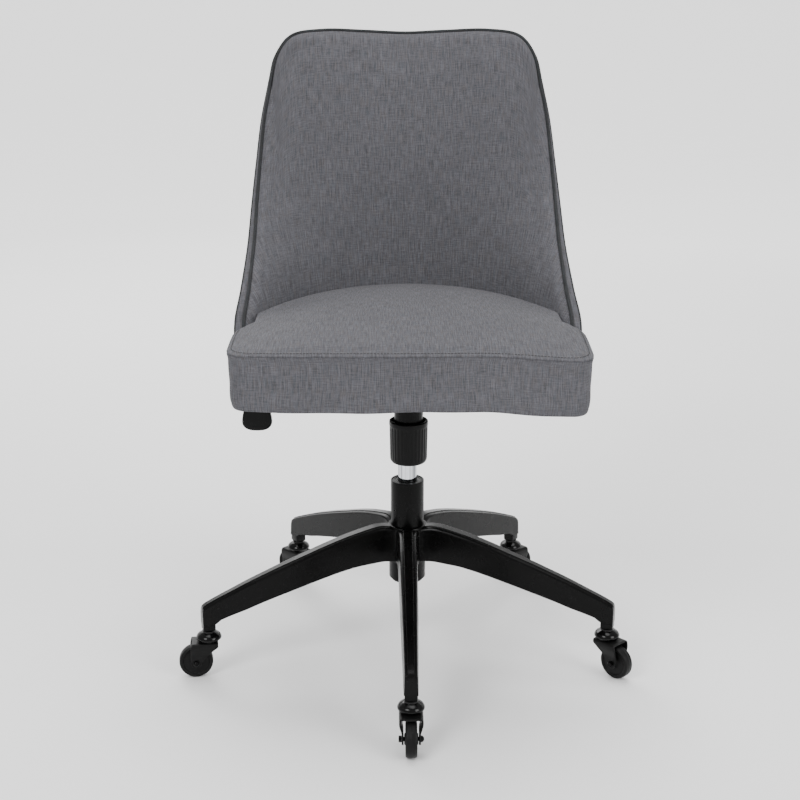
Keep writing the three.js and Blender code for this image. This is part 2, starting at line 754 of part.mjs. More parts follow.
/** The welt round the rim: up one wing's edge, over the top and down the other. */
function backWelt() {
  const depth = SHELL_RIM_THICKNESS - 3.5;
  const sides = 6;
  const crossing = ACROSS.slice().reverse().map((a) => [a, 1]);
  const climb = UP.slice(0, -1).map((up) => [1, up]);
  const route = [...climb, ...crossing, ...climb.map(([, up]) => [-1, up]).reverse()];
  const line = route.map(([across, up]) => within(across, up, depth));
  const rings = line.map((point, i) => {
    const ahead = line[Math.min(i + 1, line.length - 1)].clone().sub(line[Math.max(i - 1, 0)]);
    const towards = inward(...route[i]);
    const outward = ahead.cross(towards).normalize();
    const middle = point.clone().addScaledVector(outward, WELT_RADIUS + WELT_CLEARANCE);
    return Array.from({ length: sides }, (_, k) => {
      const angle = (-2 * Math.PI * k) / sides;
      return middle
        .clone()
        .addScaledVector(outward, WELT_RADIUS * Math.cos(angle))
        .addScaledVector(towards, WELT_RADIUS * Math.sin(angle))
        .toArray();
    });
  });
  return lofted(rings);
}

// The four bolts that hold the back to the edge of the seat board: where each enters, and its heading.
const boltHeight = SEAT_BOTTOM + DUST_COVER_THICKNESS + GAP + BOARD_THICKNESS / 2;
const backBoltPlaces = [-1, 1].flatMap((side) => [
  { across: side * 0.3, heading: [0, -1, 0] },
  { across: side * 0.8, heading: [-side, 0, 0] },
]);

/** A bar along a heading from a point. */
function barAlong(radius, start, end, place, segments = 10) {
  const rod = bar(radius, start, end, segments);
  const turn = new THREE.Quaternion().setFromUnitVectors(
    new THREE.Vector3(0, 0, 1),
    new THREE.Vector3(...place.heading),
  );
  return rod.applyQuaternion(turn).translate(...place.start);
}

for (const place of backBoltPlaces) {
  const up = shareWhere(wingEdge, "z", boltHeight);
  const point = within(place.across, up, SHELL_COVER + GAP);
  place.start = [point.x, point.y, boltHeight];
}
const BACK_BOLT_HEAD = 5;
const BACK_BOLT_HEAD_HEIGHT = 3.5;
const backBoltHoles = (radius) =>
  backBoltPlaces.map((place) => barAlong(radius, -4, BACK_BOLT_LENGTH + 4, place));
const backBoltPockets = backBoltPlaces.map((place) =>
  barAlong(BACK_BOLT_HEAD + 1, -BACK_BOLT_HEAD_HEIGHT - 1.2, 6, place, 12),
);

const plyOuter = SHELL_COVER + GAP;
const plyInner = plyOuter + SHELL_PLY;
const atRim = (a, up) => Math.abs(a) > 1 - RIM / 2 || up < RIM / 2 || up > 1 - RIM / 2;
const coverDepth = (a, up) => (atRim(a, up) ? plyInner : SHELL_COVER);
piece("back_cover", cut(shellLayer(() => 0, coverDepth), ...backBoltPockets), FABRIC);
piece(
  "back_shell",
  cut(
    shellLayer(() => plyOuter, () => plyInner, 1),
    ...backBoltPockets,
    ...backBoltHoles(BACK_BOLT_RADIUS + GAP),
  ),
  PLYWOOD,
);
piece(
  "back_pad",
  cut(
    shellLayer(() => plyInner + GAP, shellThickness),
    ...backBoltHoles(BACK_BOLT_RADIUS + GAP),
  ),
  FABRIC,
);
piece("back_welt", backWelt(), WELT_FABRIC);

// ---------------------------------------------------------------- seat
/** The seat's outline at a height, drawn in by an inset: square front corners, and a rear that
    fits inside the back with a clearance. */
function seatOutline(height, inset, clearance = 2.5) {
  const half = SEAT_HALF_WIDTH - inset;
  const front = -SEAT_FRONT + inset;
  const corner = SEAT_CORNER - inset * 0.5;
  const shoulder = -SEAT_SHOULDER - inset * 0.2;
  const arc = Array.from({ length: 5 }, (_, i) => {
    const angle = -Math.PI / 2 + (Math.PI / 2) * (i / 4);
    return [
      half - corner + corner * Math.cos(angle),
      front + SEAT_FRONT_BOW + corner + corner * Math.sin(angle),
    ];
  });
  const up = shareWhere(wingEdge, "z", Math.min(height, SEAT_SEAM + 6));
  const rear = [0.95, ...ACROSS.filter((a) => a < 0.93 && a > -1e-6).reverse()].map((across) => {
    const depth = shellThickness(across, up) + clearance + inset;
    const point = within(across, up, depth);
    return [point.x, point.y];
  });
  const right = [
    [half * 0.35, front + SEAT_FRONT_BOW * 0.1],
    [half * 0.65, front + SEAT_FRONT_BOW * 0.45],
    ...arc,
    [half, (front + shoulder) / 2],
    [half, shoulder],
    [rear[0][0], shoulder],
    ...rear,
  ];
  const left = right.slice(0, -1).map(([x, y]) => [-x, y]).reverse();
  return [...right, ...left, [0, front]];
}

const seatMiddleY = -40;
/** The cushion: a box with a skirt around the board, bulging a little, and a crowned top. */
function seatCushion() {
  const level = (height, inset) => seatOutline(height, inset).map(([x, y]) => [x, y, height]);
  const crown = (share) => {
    const height = SEAT_SEAM + SEAT_CROWN * (1 - share ** 2.6);
    return seatOutline(SEAT_SEAM, 1.5).map(([x, y]) => [
      x * share,
      seatMiddleY + (y - seatMiddleY) * share,
      height,
    ]);
  };
  const rings = [
    level(SEAT_BOTTOM, 7),
    level(SEAT_BOTTOM + 8, 2.5),
    level(SEAT_SEAM - 28, 0),
    level(SEAT_SEAM - 4, 0.5),
    ...[1, 0.96, 0.84, 0.6, 0.3].map(crown),
  ];
  const boardRecess = raised(
    seatOutline(SEAT_BOTTOM, SEAT_SKIRT - 2 * GAP),
    SEAT_BOTTOM - 1,
    boardTop + GAP,
  );
  return cut(lofted(rings), boardRecess, ...backBoltHoles(BACK_BOLT_RADIUS + GAP));
}

const boardBottom = SEAT_BOTTOM + DUST_COVER_THICKNESS + GAP;
const boardTop = boardBottom + BOARD_THICKNESS;
const mechanismBolts = [-1, 1].flatMap((side) =>
  MECHANISM_BOLTS_Y.map((y) => [side * MECHANISM_BOLT_X, y]),
);
const mechanismBoltHoles = (radius, bottom, top) =>
  mechanismBolts.map(([x, y]) => bar(radius, bottom, top, 10).translate(x, y, 0));

piece("seat_cushion", seatCushion(), FABRIC);
piece(
  "seat_board",
  cut(
    raised(seatOutline(SEAT_BOTTOM, SEAT_SKIRT), boardBottom, boardTop),
    ...mechanismBoltHoles(MECHANISM_BOLT_RADIUS + GAP, boardBottom - 1, boardTop - 2),
    ...backBoltHoles(BACK_BOLT_RADIUS + GAP),
  ),
  PLYWOOD,
);
piece(
  "dust_cover",
  cut(
    raised(seatOutline(SEAT_BOTTOM, SEAT_SKIRT), SEAT_BOTTOM, SEAT_BOTTOM + DUST_COVER_THICKNESS),
    ...mechanismBoltHoles(MECHANISM_BOLT_RADIUS + GAP, SEAT_BOTTOM - 1, boardTop),
  ),
  DUST_CLOTH,
);
backBoltPlaces.forEach((place, i) => {
  const shank = barAlong(BACK_BOLT_RADIUS, 0, BACK_BOLT_LENGTH, place);
  const head = barAlong(BACK_BOLT_HEAD, -BACK_BOLT_HEAD_HEIGHT, 0, place, 12);
  piece(`back_bolt_${i + 1}`, join(shank, head), BARE_STEEL);
});

// ---------------------------------------------------------------- tilt mechanism
const plateTop = SEAT_BOTTOM - GAP;
const plateBottom = plateTop - PLATE_THICKNESS;
const pocketHalf = 20; // the pressed pocket that the tension bolt's cross head lies in
const pocketFloor = TENSION_HEAD_Z - 5 - GAP;

/** The plate under the seat, with two ears on the tilt axle and a pocket for the tension bolt. */
function seatPlate() {
  const sheet = block(
    [-PLATE_HALF_WIDTH, -PLATE_FRONT, plateBottom],
    [PLATE_HALF_WIDTH, PLATE_REAR, plateTop],
  );
  const earInner = HOUSING_HALF_WIDTH + 1;
  const ears = [-1, 1].map((side) => {
    const edges = [side * earInner, side * (earInner + PLATE_THICKNESS)].sort((a, b) => a - b);
    return block(
      [edges[0], PIVOT_Y - 16, PIVOT_Z - 12],
      [edges[1], PIVOT_Y + 16, plateBottom + 1],
    );
  });
  const wall = 2.5;
  const outside = block(
    [-pocketHalf - wall, TENSION_Y - 10, pocketFloor - wall],
    [pocketHalf + wall, TENSION_Y + 10, plateBottom + 1],
  );
  const hollow = block(
    [-pocketHalf, TENSION_Y - 7.5, pocketFloor],
    [pocketHalf, TENSION_Y + 7.5, plateTop + 1],
  );
  const shankHole = bar(TENSION_BOLT_RADIUS + 2.5, pocketFloor - 9, pocketFloor + 1, 14);
  const axleHole = bar(PIVOT_RADIUS + GAP, -60, 60, 14).rotateY(Math.PI / 2);
  return cut(
    join(sheet, ...ears, outside),
    hollow,
    shankHole.translate(0, TENSION_Y, 0),
    axleHole.translate(0, PIVOT_Y, PIVOT_Z),
    ...mechanismBoltHoles(MECHANISM_BOLT_RADIUS + GAP, plateBottom - 1, plateTop + 1),
  );
}

/** The housing: a steel channel with the column's socket and the tension spring's tube welded in. */
function tiltHousing() {
  const half = HOUSING_HALF_WIDTH;
  const wallTop = PIVOT_Z + 8;
  const sideView = [
    [-HOUSING_FRONT, HOUSING_FLOOR],
    [HOUSING_REAR, HOUSING_FLOOR],
    [HOUSING_REAR, HOUSING_FLOOR + 9],
    [LEVER_HOLE_HALF + 5, wallTop],
    [PIVOT_Y - 14, wallTop],
    [TENSION_Y + 16, HOUSING_FLOOR + 10],
    [-HOUSING_FRONT, HOUSING_FLOOR + 10],
  ];
  const channel = drawnOut(sideView, -half, half);
  const hollow = block(
    [-half + PLATE_THICKNESS, -HOUSING_FRONT + PLATE_THICKNESS, HOUSING_FLOOR + PLATE_THICKNESS],
    [half - PLATE_THICKNESS, HOUSING_REAR - PLATE_THICKNESS, wallTop + 5],
  );
  const socket = bar(SOCKET_RADIUS, SOCKET_BOTTOM, SOCKET_TOP, 24);
  const springTube = bar(SPRING_TUBE_RADIUS, SPRING_TUBE_BOTTOM, HOUSING_FLOOR + 1, 24);
  const taper = turned(
    [
      [0, SOCKET_BOTTOM - 1],
      [CYLINDER_RADIUS + GAP, SOCKET_BOTTOM - 1],
      [CYLINDER_RADIUS + GAP, SOCKET_BOTTOM],
      [CYLINDER_RADIUS - 1.2 + GAP, SOCKET_TOP - 1],
      [CYLINDER_RADIUS - 1.2 + GAP, SOCKET_TOP + 1],
      [0, SOCKET_TOP + 1],
    ],
    24,
  );
  const springSpace = bar(SPRING_TUBE_RADIUS - 2, SPRING_TUBE_BOTTOM - 1, HOUSING_FLOOR, 24);
  const boltSlot = bar(TENSION_BOLT_RADIUS + 4, HOUSING_FLOOR - 1, HOUSING_FLOOR + 9, 16);
  const axleHole = bar(PIVOT_RADIUS + GAP, -half - 1, half + 1, 14).rotateY(Math.PI / 2);
  const leverHole = block(
    [-half - 1, -LEVER_HOLE_HALF, LEVER_Z - LEVER_HOLE_HALF],
    [-half + PLATE_THICKNESS + 1, LEVER_HOLE_HALF, LEVER_Z + LEVER_HOLE_HALF],
  );
  return cut(
    join(cut(channel, hollow), socket, springTube.translate(0, TENSION_Y, 0)),
    taper,
    springSpace.translate(0, TENSION_Y, 0),
    boltSlot.translate(0, TENSION_Y, 0),
    axleHole.translate(0, PIVOT_Y, PIVOT_Z),
    leverHole,
  );
}

/** The tension spring: a coil between the housing's floor and the washer on the knob. */
function tensionSpring() {
  const wire = 2;
  const coil = 14.5;
  const low = knobSeat + 2 + 2 * GAP + wire;
  const high = HOUSING_FLOOR - GAP - wire;
  const turns = 5;
  class Coil extends THREE.Curve {
    getPoint(share) {
      const angle = 2 * Math.PI * turns * share;
      return new THREE.Vector3(
        coil * Math.cos(angle),
        coil * Math.sin(angle),
        THREE.MathUtils.lerp(low, high, share),
      );
    }
  }
  return swept(new Coil(), wire, 5, turns * 9);
}

const knobSeat = KNOB_BOTTOM + KNOB_FLOOR; // the knob's floor, which the spring's washer lies on
/** The tension knob: a fluted cup that screws up round the spring tube. */
function tensionKnob() {
  const cavity = KNOB_RADIUS - KNOB_WALL;
  return turned(
    [
      [TENSION_BOLT_RADIUS + GAP, KNOB_BOTTOM + 4],
      [KNOB_RADIUS - 9, KNOB_BOTTOM],
      [KNOB_RADIUS - 4, KNOB_BOTTOM],
      [KNOB_RADIUS - 1.2, KNOB_BOTTOM + 3],
      [KNOB_RADIUS - 0.4, KNOB_TOP - 2],
      [KNOB_RADIUS - 1.4, KNOB_TOP],
      [cavity, KNOB_TOP],
      [cavity, knobSeat],
      [TENSION_BOLT_RADIUS + GAP, knobSeat],
      [TENSION_BOLT_RADIUS + GAP, KNOB_BOTTOM + 4],
    ],
    24,
  );
}

/** The tension bolt, hanging from a cross head that lies in the seat plate's pocket. */
function tensionBolt() {
  const shank = bar(TENSION_BOLT_RADIUS, KNOB_BOTTOM + 5, TENSION_HEAD_Z, 12);
  const crossHead = bar(5, -pocketHalf + 2, pocketHalf - 2, 14)
    .rotateY(Math.PI / 2)
    .translate(0, 0, TENSION_HEAD_Z);
  return join(shank, crossHead);
}

/** The tilt axle, headed at both ends outside the plate's ears. */
function pivotAxle() {
  const seat = HOUSING_HALF_WIDTH + 1 + PLATE_THICKNESS + GAP;
  const end = seat + 3;
  const head = PIVOT_RADIUS + 2.5;
  return turned(
    [
      [0, -end],
      [head, -end],
      [head, -seat],
      [PIVOT_RADIUS, -seat],
      [PIVOT_RADIUS, seat],
      [head, seat],
      [head, end],
      [0, end],
    ],
    14,
  ).rotateY(Math.PI / 2);
}

piece("seat_plate", seatPlate(), BLACK_STEEL);
piece("tilt_housing", tiltHousing(), BLACK_STEEL);
piece("pivot_axle", pivotAxle(), BARE_STEEL).position.set(0, PIVOT_Y, PIVOT_Z);
piece("tension_spring", tensionSpring(), BARE_STEEL).position.y = TENSION_Y;
piece("tension_knob", tensionKnob(), BLACK_PLASTIC).position.y = TENSION_Y;
piece("tension_bolt", tensionBolt(), BARE_STEEL).position.y = TENSION_Y;
piece(
  "spring_washer",
  tubeBetween(TENSION_BOLT_RADIUS + GAP, 17, knobSeat + GAP, knobSeat + GAP + 2, 20),
  BARE_STEEL,
).position.y = TENSION_Y;
mechanismBolts.forEach(([x, y], i) => {
  const head = bar(5.5, plateBottom - GAP - 4, plateBottom - GAP, 6);
  const shank = bar(MECHANISM_BOLT_RADIUS, plateBottom - GAP - 1, boardTop - 3, 10);
  piece(`plate_bolt_${i + 1}`, join(head, shank), BARE_STEEL).position.set(x, y, 0);
});

// ---------------------------------------------------------------- height lever
const paddleTop = PADDLE_BOTTOM + PADDLE_HEIGHT;
/** The lever's rod: over the valve pin, out through the housing's wall, and down to the paddle. */
function leverRod() {
  const path = new THREE.CatmullRomCurve3(
    [
      [6, 0, LEVER_Z],
      [-25, 0, LEVER_Z],
      [-52, 0, LEVER_Z],
      [-90, 0, LEVER_Z - 6],
      [-150, 0, LEVER_Z - 13],
      [PADDLE_X + 18, 0, paddleTop + 12],
      [PADDLE_X + 2, 0, paddleTop + 2],
      [PADDLE_X, 0, paddleTop - 20],
    ].map((p) => new THREE.Vector3(...p)),
  );
  return swept(path, LEVER_RADIUS, 6, 22);
}

/** The grip: a flat bell with a rounded foot, bored for the rod's end. */
function leverPaddle() {
  const half = PADDLE_WIDTH / 2;
  const edge = 4;
  const face = new THREE.Shape();
  face.moveTo(-half + 9, PADDLE_HEIGHT - edge);
  face.lineTo(-half + edge, 16);
  face.quadraticCurveTo(-half + edge, edge, 0, edge);
  face.quadraticCurveTo(half - edge, edge, half - edge, 16);
  face.lineTo(half - 9, PADDLE_HEIGHT - edge);
  const bell = new THREE.ExtrudeGeometry(face, {
    depth: PADDLE_THICKNESS - 2 * edge,
    bevelThickness: edge,
    bevelSize: edge,
    bevelSegments: 2,
    curveSegments: 6,
  })
    .rotateX(Math.PI / 2)
    .translate(PADDLE_X, PADDLE_THICKNESS / 2 - edge, PADDLE_BOTTOM);
  const bore = swept(
    new THREE.LineCurve3(
      new THREE.Vector3(PADDLE_X, 0, paddleTop - 22),
      new THREE.Vector3(PADDLE_X, 0, paddleTop + 10),
    ),
    LEVER_RADIUS + 2,
    10,
    1,
  );
  return cut(bell, bore);
}
piece("lever_rod", leverRod(), BLACK_STEEL);
piece("lever_paddle", leverPaddle(), BLACK_PLASTIC);

export default chair;
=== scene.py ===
"""A swivel office chair: upholstered box seat, wrap-round back, gas lift and five-arm castor base.

Shapes are worked out in millimetres from the column's axis, and put into the meshes in metres.
"""

import json
import logging
import math
from dataclasses import dataclass, field
from enum import Enum
from typing import Sequence

import bpy
import numpy as np
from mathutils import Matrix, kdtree
from numpy.typing import NDArray

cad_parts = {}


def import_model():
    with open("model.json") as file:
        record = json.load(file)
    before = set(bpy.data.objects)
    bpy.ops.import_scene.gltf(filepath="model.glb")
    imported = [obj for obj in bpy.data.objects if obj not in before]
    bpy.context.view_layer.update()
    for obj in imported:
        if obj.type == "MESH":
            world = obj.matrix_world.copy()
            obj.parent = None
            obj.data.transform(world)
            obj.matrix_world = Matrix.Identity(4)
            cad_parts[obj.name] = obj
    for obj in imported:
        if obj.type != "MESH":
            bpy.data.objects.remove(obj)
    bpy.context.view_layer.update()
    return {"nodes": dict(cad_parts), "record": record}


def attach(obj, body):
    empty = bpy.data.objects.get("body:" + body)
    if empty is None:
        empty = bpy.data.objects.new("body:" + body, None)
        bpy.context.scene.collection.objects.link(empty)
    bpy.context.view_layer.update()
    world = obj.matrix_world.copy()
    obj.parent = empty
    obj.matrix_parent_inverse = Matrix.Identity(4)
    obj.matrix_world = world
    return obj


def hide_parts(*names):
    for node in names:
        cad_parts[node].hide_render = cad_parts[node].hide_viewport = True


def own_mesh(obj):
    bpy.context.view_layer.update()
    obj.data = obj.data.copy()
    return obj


Array = NDArray[np.float64]
Whole = NDArray[np.int64]
log = logging.getLogger("chair")

COLUMN_Y = 33.0  # the column's axis from the middle of the footprint, mm
MM = 0.001
PROXY_VOXEL = 0.0075  # the cloth proxy's remesh, m
CLOTH_FRAMES = 20
PAD_PRESSURE = 4.0  # how hard the padding blows the proxy up


class Body(str, Enum):
    """The rigid bodies that pieces ride on."""

    BASE = "base"
    MECHANISM = "mechanism"
    SEAT = "seat"
    GRIP = "tension_grip"
    LEVER = "height_lever"


# ---------------------------------------------------------------- curves and surfaces
def ease(value: Array, low: float, high: float) -> Array:
    """A smooth step: 3t^2 - 2t^3, where t is the share of the way from low to high."""
    t = np.clip((value - low) / (high - low), 0.0, 1.0)
    return t * t * (3.0 - 2.0 * t)


def through(points: Array, shares: Array) -> Array:
    """A smooth line through points: one cubic per span, its end slopes taken from the neighbouring
    points, with spans counted by the square root of their length.

    Args:
        points: the points passed through, one per row.
        shares: places from 0 at the first point to 1 at the last.

    Returns:
        One point per share.
    """
    padded = np.vstack([2 * points[0] - points[1], points, 2 * points[-1] - points[-2]])
    place = np.clip(shares, 0.0, 1.0) * (len(points) - 1)
    span = np.minimum(place.astype(int), len(points) - 2)
    t = (place - span)[:, None]
    p0, p1, p2, p3 = (padded[span + k] for k in range(4))
    d0, d1, d2 = (
        np.maximum(np.sqrt(np.linalg.norm(b - a, axis=1))[:, None], 1e-4)
        for a, b in ((p0, p1), (p1, p2), (p2, p3))
    )
    start = ((p1 - p0) / d0 - (p2 - p0) / (d0 + d1) + (p2 - p1) / d1) * d1
    end = ((p2 - p1) / d1 - (p3 - p1) / (d1 + d2) + (p3 - p2) / d2) * d1
    return (
        p1
        + start * t
        + (3 * (p2 - p1) - 2 * start - end) * t**2
        + (2 * (p1 - p2) + start + end) * t**3
    )


def resampled(line: Array, shares: Array) -> Array:
    """Points of a polyline at shares of its length."""
    steps = np.linalg.norm(np.diff(line, axis=0), axis=1)
    run = np.concatenate([[0.0], np.cumsum(steps)])
    return np.stack([np.interp(shares * run[-1], run, line[:, k]) for k in range(line.shape[1])], 1)


def filleted(corners: Sequence[Sequence[float]], steps: int = 5) -> Array:
    """A polyline with its corners rounded: each corner is [a, b] or [a, b, radius], and a rounded
    one becomes the curve (1-t)^2 P + 2t(1-t) C + t^2 Q from P before the corner C to Q after it.

    Args:
        corners: the polyline's corners.
        steps: points along each rounding.

    Returns:
        The points, one per row.
    """
    out: list[Array] = []
    spots = np.array([c[:2] for c in corners], float)
    t = np.linspace(0, 1, steps)[:, None]
    for i, corner in enumerate(corners):
        radius = corner[2] if len(corner) > 2 else 0.0
        if radius <= 0 or i in (0, len(corners) - 1):
            out.append(spots[i][None])
            continue
        back, ahead = spots[i - 1] - spots[i], spots[i + 1] - spots[i]
        lengths = np.linalg.norm(back), np.linalg.norm(ahead)
        cut = min(radius, 0.49 * min(lengths))
        p, q = spots[i] + back / lengths[0] * cut, spots[i] + ahead / lengths[1] * cut
        out.append((1 - t) ** 2 * p + 2 * t * (1 - t) * spots[i] + t**2 * q)
    return np.vstack(out)


@dataclass
class Skin:
    """A mesh as whole arrays, in mm from the column's axis.

    The cloth coordinates, one pair per face corner, are metres along and across the cloth.
    """

    points: Array
    quads: Whole
    tris: Whole = field(default_factory=lambda: np.zeros((0, 3), int))
    cloth: Array | None = None

    def volume(self) -> float:
        """Six times the volume enclosed, by the sum of triple products over the faces."""
        halves = np.vstack([self.quads[:, [0, 1, 2]], self.quads[:, [0, 2, 3]], self.tris])
        a, b, c = (self.points[halves[:, k]] for k in range(3))
        return float(np.einsum("ij,ij->i", a, np.cross(b, c)).sum())

    def outward(self) -> "Skin":
        """The same skin with its faces turned to point outwards."""
        if self.volume() >= 0:
            return self
        cloth = self.cloth
        if cloth is not None:
            cut = len(self.quads) * 4
            first = cloth[:cut].reshape(-1, 4, 2)[:, ::-1].reshape(-1, 2)
            second = cloth[cut:].reshape(-1, 3, 2)[:, ::-1].reshape(-1, 2)
            cloth = np.vstack([first, second])
        return Skin(self.points, self.quads[:, ::-1], self.tris[:, ::-1], cloth)

    def moved(self, turn_deg: float, shift: Sequence[float]) -> "Skin":
        """The skin turned about Z and then shifted, as p' = R p + s."""
        c, s = math.cos(math.radians(turn_deg)), math.sin(math.radians(turn_deg))
        turn = np.array([[c, -s, 0], [s, c, 0], [0, 0, 1]])
        return Skin(self.points @ turn.T + np.array(shift), self.quads, self.tris, self.cloth)


def merged(skins: Sequence[Skin]) -> Skin:
    """Several skins as one, each turned outwards first; their cloth coordinates are dropped."""
    skins = [skin.outward() for skin in skins]
    starts = np.cumsum([0] + [len(skin.points) for skin in skins[:-1]])
    return Skin(
        np.vstack([skin.points for skin in skins]),
        np.vstack([skin.quads + start for skin, start in zip(skins, starts)]),
        np.vstack([skin.tris + start for skin, start in zip(skins, starts)]),
    )


def grid_quads(rows: int, cols: int, wrap: bool) -> Whole:
    """The faces of a grid of points, joined from its last column to its first if it wraps."""
    span = cols if wrap else cols - 1
    i, j = np.meshgrid(np.arange(rows - 1), np.arange(span), indexing="ij")
    k = (j + 1) % cols
    return np.stack([i * cols + j, i * cols + k, (i + 1) * cols + k, (i + 1) * cols + j], -1).reshape(-1, 4)


def tube_skin(rings: Array, cloth: Array | None = None) -> Skin:
    """A closed skin over rings of points, with a fan to the middle of the first and last ring.

    Args:
        rings: an array of ring, point on the ring, and coordinate.
        cloth: cloth coordinates for each of the grid's faces' corners, fans left out.

    Returns:
        The skin, turned outwards.
    """
    rows, cols = rings.shape[:2]
    middles = np.stack([rings[0].mean(0), rings[-1].mean(0)])
    points = np.vstack([rings.reshape(-1, 3), middles])
    j = np.arange(cols)
    k = (j + 1) % cols
    first, last = rows * cols, rows * cols + 1
    tris = np.vstack(
        [
            np.stack([np.full(cols, first), k, j], 1),
            np.stack([np.full(cols, last), (rows - 1) * cols + j, (rows - 1) * cols + k], 1),
        ]
    )
    if cloth is not None:
        fans = points[tris.reshape(-1)][:, :2] * MM
        cloth = np.vstack([cloth, fans])
    return Skin(points, grid_quads(rows, cols, True), tris, cloth).outward()


def turned(profile: Array, segments: int = 72) -> Skin:
    """A profile of radius and height turned about Z: (r cos a, r sin a, h). Its ends are closed."""
    angle = np.linspace(0, 2 * np.pi, segments, endpoint=False)
    r, h = profile[:, :1], np.repeat(profile[:, 1:2], segments, 1)
    return tube_skin(np.stack([r * np.cos(angle), r * np.sin(angle), h], -1))


def turned_ring(profile: Array, segments: int = 72) -> Skin:
    """A closed loop of radius and height turned about Z into a ring."""
    angle = np.linspace(0, 2 * np.pi, segments, endpoint=False)
    loop = np.vstack([profile, profile[:1]])
    r, h = loop[:, :1], np.repeat(loop[:, 1:2], segments, 1)
    rings = np.stack([r * np.cos(angle), r * np.sin(angle), h], -1)
    rows = len(profile)
    quads = grid_quads(rows + 1, segments, True) % (rows * segments)
    return Skin(rings[:-1].reshape(-1, 3), quads).outward()


def laid_down(skin: Skin) -> Skin:
    """The skin with its Z axis laid along Y: (x, z, -y)."""
    x, y, z = skin.points.T
    return Skin(np.stack([x, z, -y], 1), skin.quads, skin.tris, skin.cloth).outward()


def cord_skin(line: Array, radius: float, sides: int = 12, cloth: bool = False) -> Skin:
    """A round section carried along a line: each ring is the point plus r cos a times one normal
    and r sin a times the other, the normals kept from twisting by projecting the last ring's.

    Args:
        line: the middle line's points.
        radius: the section's radius, mm.
        sides: points round the section.
        cloth: whether to give it cloth coordinates, along and round.

    Returns:
        The closed skin.
    """
    ahead = np.gradient(line, axis=0)
    ahead /= np.linalg.norm(ahead, axis=1)[:, None]
    normal = np.zeros_like(line)
    hint = np.array([0.0, -1.0, 0.0]) if abs(ahead[0, 1]) < 0.8 else np.array([1.0, 0.0, 0.0])
    for i, way in enumerate(ahead):
        hint = hint - way * hint.dot(way)
        hint = hint / np.linalg.norm(hint)
        normal[i] = hint
    other = np.cross(ahead, normal)
    angle = np.linspace(0, 2 * np.pi, sides, endpoint=False)
    ring = normal[:, None] * np.cos(angle)[None, :, None] + other[:, None] * np.sin(angle)[None, :, None]
    coordinates = None
    if cloth:
        run = np.concatenate([[0], np.cumsum(np.linalg.norm(np.diff(line, axis=0), axis=1))]) * MM
        i, j = np.meshgrid(np.arange(len(line) - 1), np.arange(sides), indexing="ij")
        girth = 2 * np.pi * radius * MM / sides
        along = np.stack([run[i], run[i], run[i + 1], run[i + 1]], -1)
        around = np.stack([j, j + 1, j + 1, j], -1) * girth
        coordinates = np.stack([around, along], -1).reshape(-1, 2)
    return tube_skin(line[:, None] + ring * radius, coordinates)


def block_skin(low: Sequence[float], high: Sequence[float], edge: float) -> Skin:
    """A box with eased edges: rings of a rounded rectangle, drawn in by the edge at both ends."""
    lo, hi = np.array(low, float), np.array(high, float)
    quarter = np.linspace(0, np.pi / 2, 4)
    angle = np.concatenate([quarter + k * np.pi / 2 for k in range(4)])
    sign_x = np.repeat([1, -1, -1, 1], 4)
    sign_y = np.repeat([1, 1, -1, -1], 4)
    mid, half = (lo + hi) / 2, (hi - lo) / 2
    rings = []
    for share in (0.0, 0.3, 1.0):
        drawn = edge * (1 - math.sqrt(1 - (1 - share) ** 2))
        x = mid[0] + sign_x * (half[0] - edge) + (edge - drawn) * np.cos(angle)
        y = mid[1] + sign_y * (half[1] - edge) + (edge - drawn) * np.sin(angle)
        rings.append((x, y, edge * share))
    levels = [(x, y, lo[2] + up) for x, y, up in rings] + [(x, y, hi[2] - up) for x, y, up in rings[::-1]]
    return tube_skin(np.stack([np.stack([x, y, np.full(16, z)], 1) for x, y, z in levels]))


# ---------------------------------------------------------------- pieces
def piece(
    name: str,
    skin: Skin,
    material: bpy.types.Material,
    body: str,
    stands_for: Sequence[str] = (),
    sharp_deg: float = 35.0,
) -> bpy.types.Object:
    """Makes one finished piece.

    Args:
        name: the piece's name.
        skin: its surface, in mm from the column's axis.
        material: its finish.
        body: the body that it rides on.
        stands_for: the CAD nodes that it replaces.
        sharp_deg: edges that turn by more than this are left sharp.

    Returns:
        The object, at the origin.
    """
    skin = skin.outward()
    mesh = bpy.data.meshes.new(name)
    place = (skin.points + np.array([0.0, COLUMN_Y, 0.0])) * MM
    mesh.from_pydata(place.tolist(), [], skin.quads.tolist() + skin.tris.tolist())
    if skin.cloth is not None:
        mesh.uv_layers.new(name="cloth").data.foreach_set("uv", skin.cloth.astype(np.float32).ravel())
    mesh.polygons.foreach_set("use_smooth", np.ones(len(mesh.polygons), bool))
    mesh.set_sharp_from_angle(angle=math.radians(sharp_deg))
    mesh.materials.append(material)
    mesh.update()
    obj = bpy.data.objects.new(name, mesh)
    bpy.context.scene.collection.objects.link(obj)
    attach(obj, body)
    if stands_for:
        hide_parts(*stands_for)
    log.info("%s: %d points, rides on %s", name, len(mesh.vertices), body)
    return obj


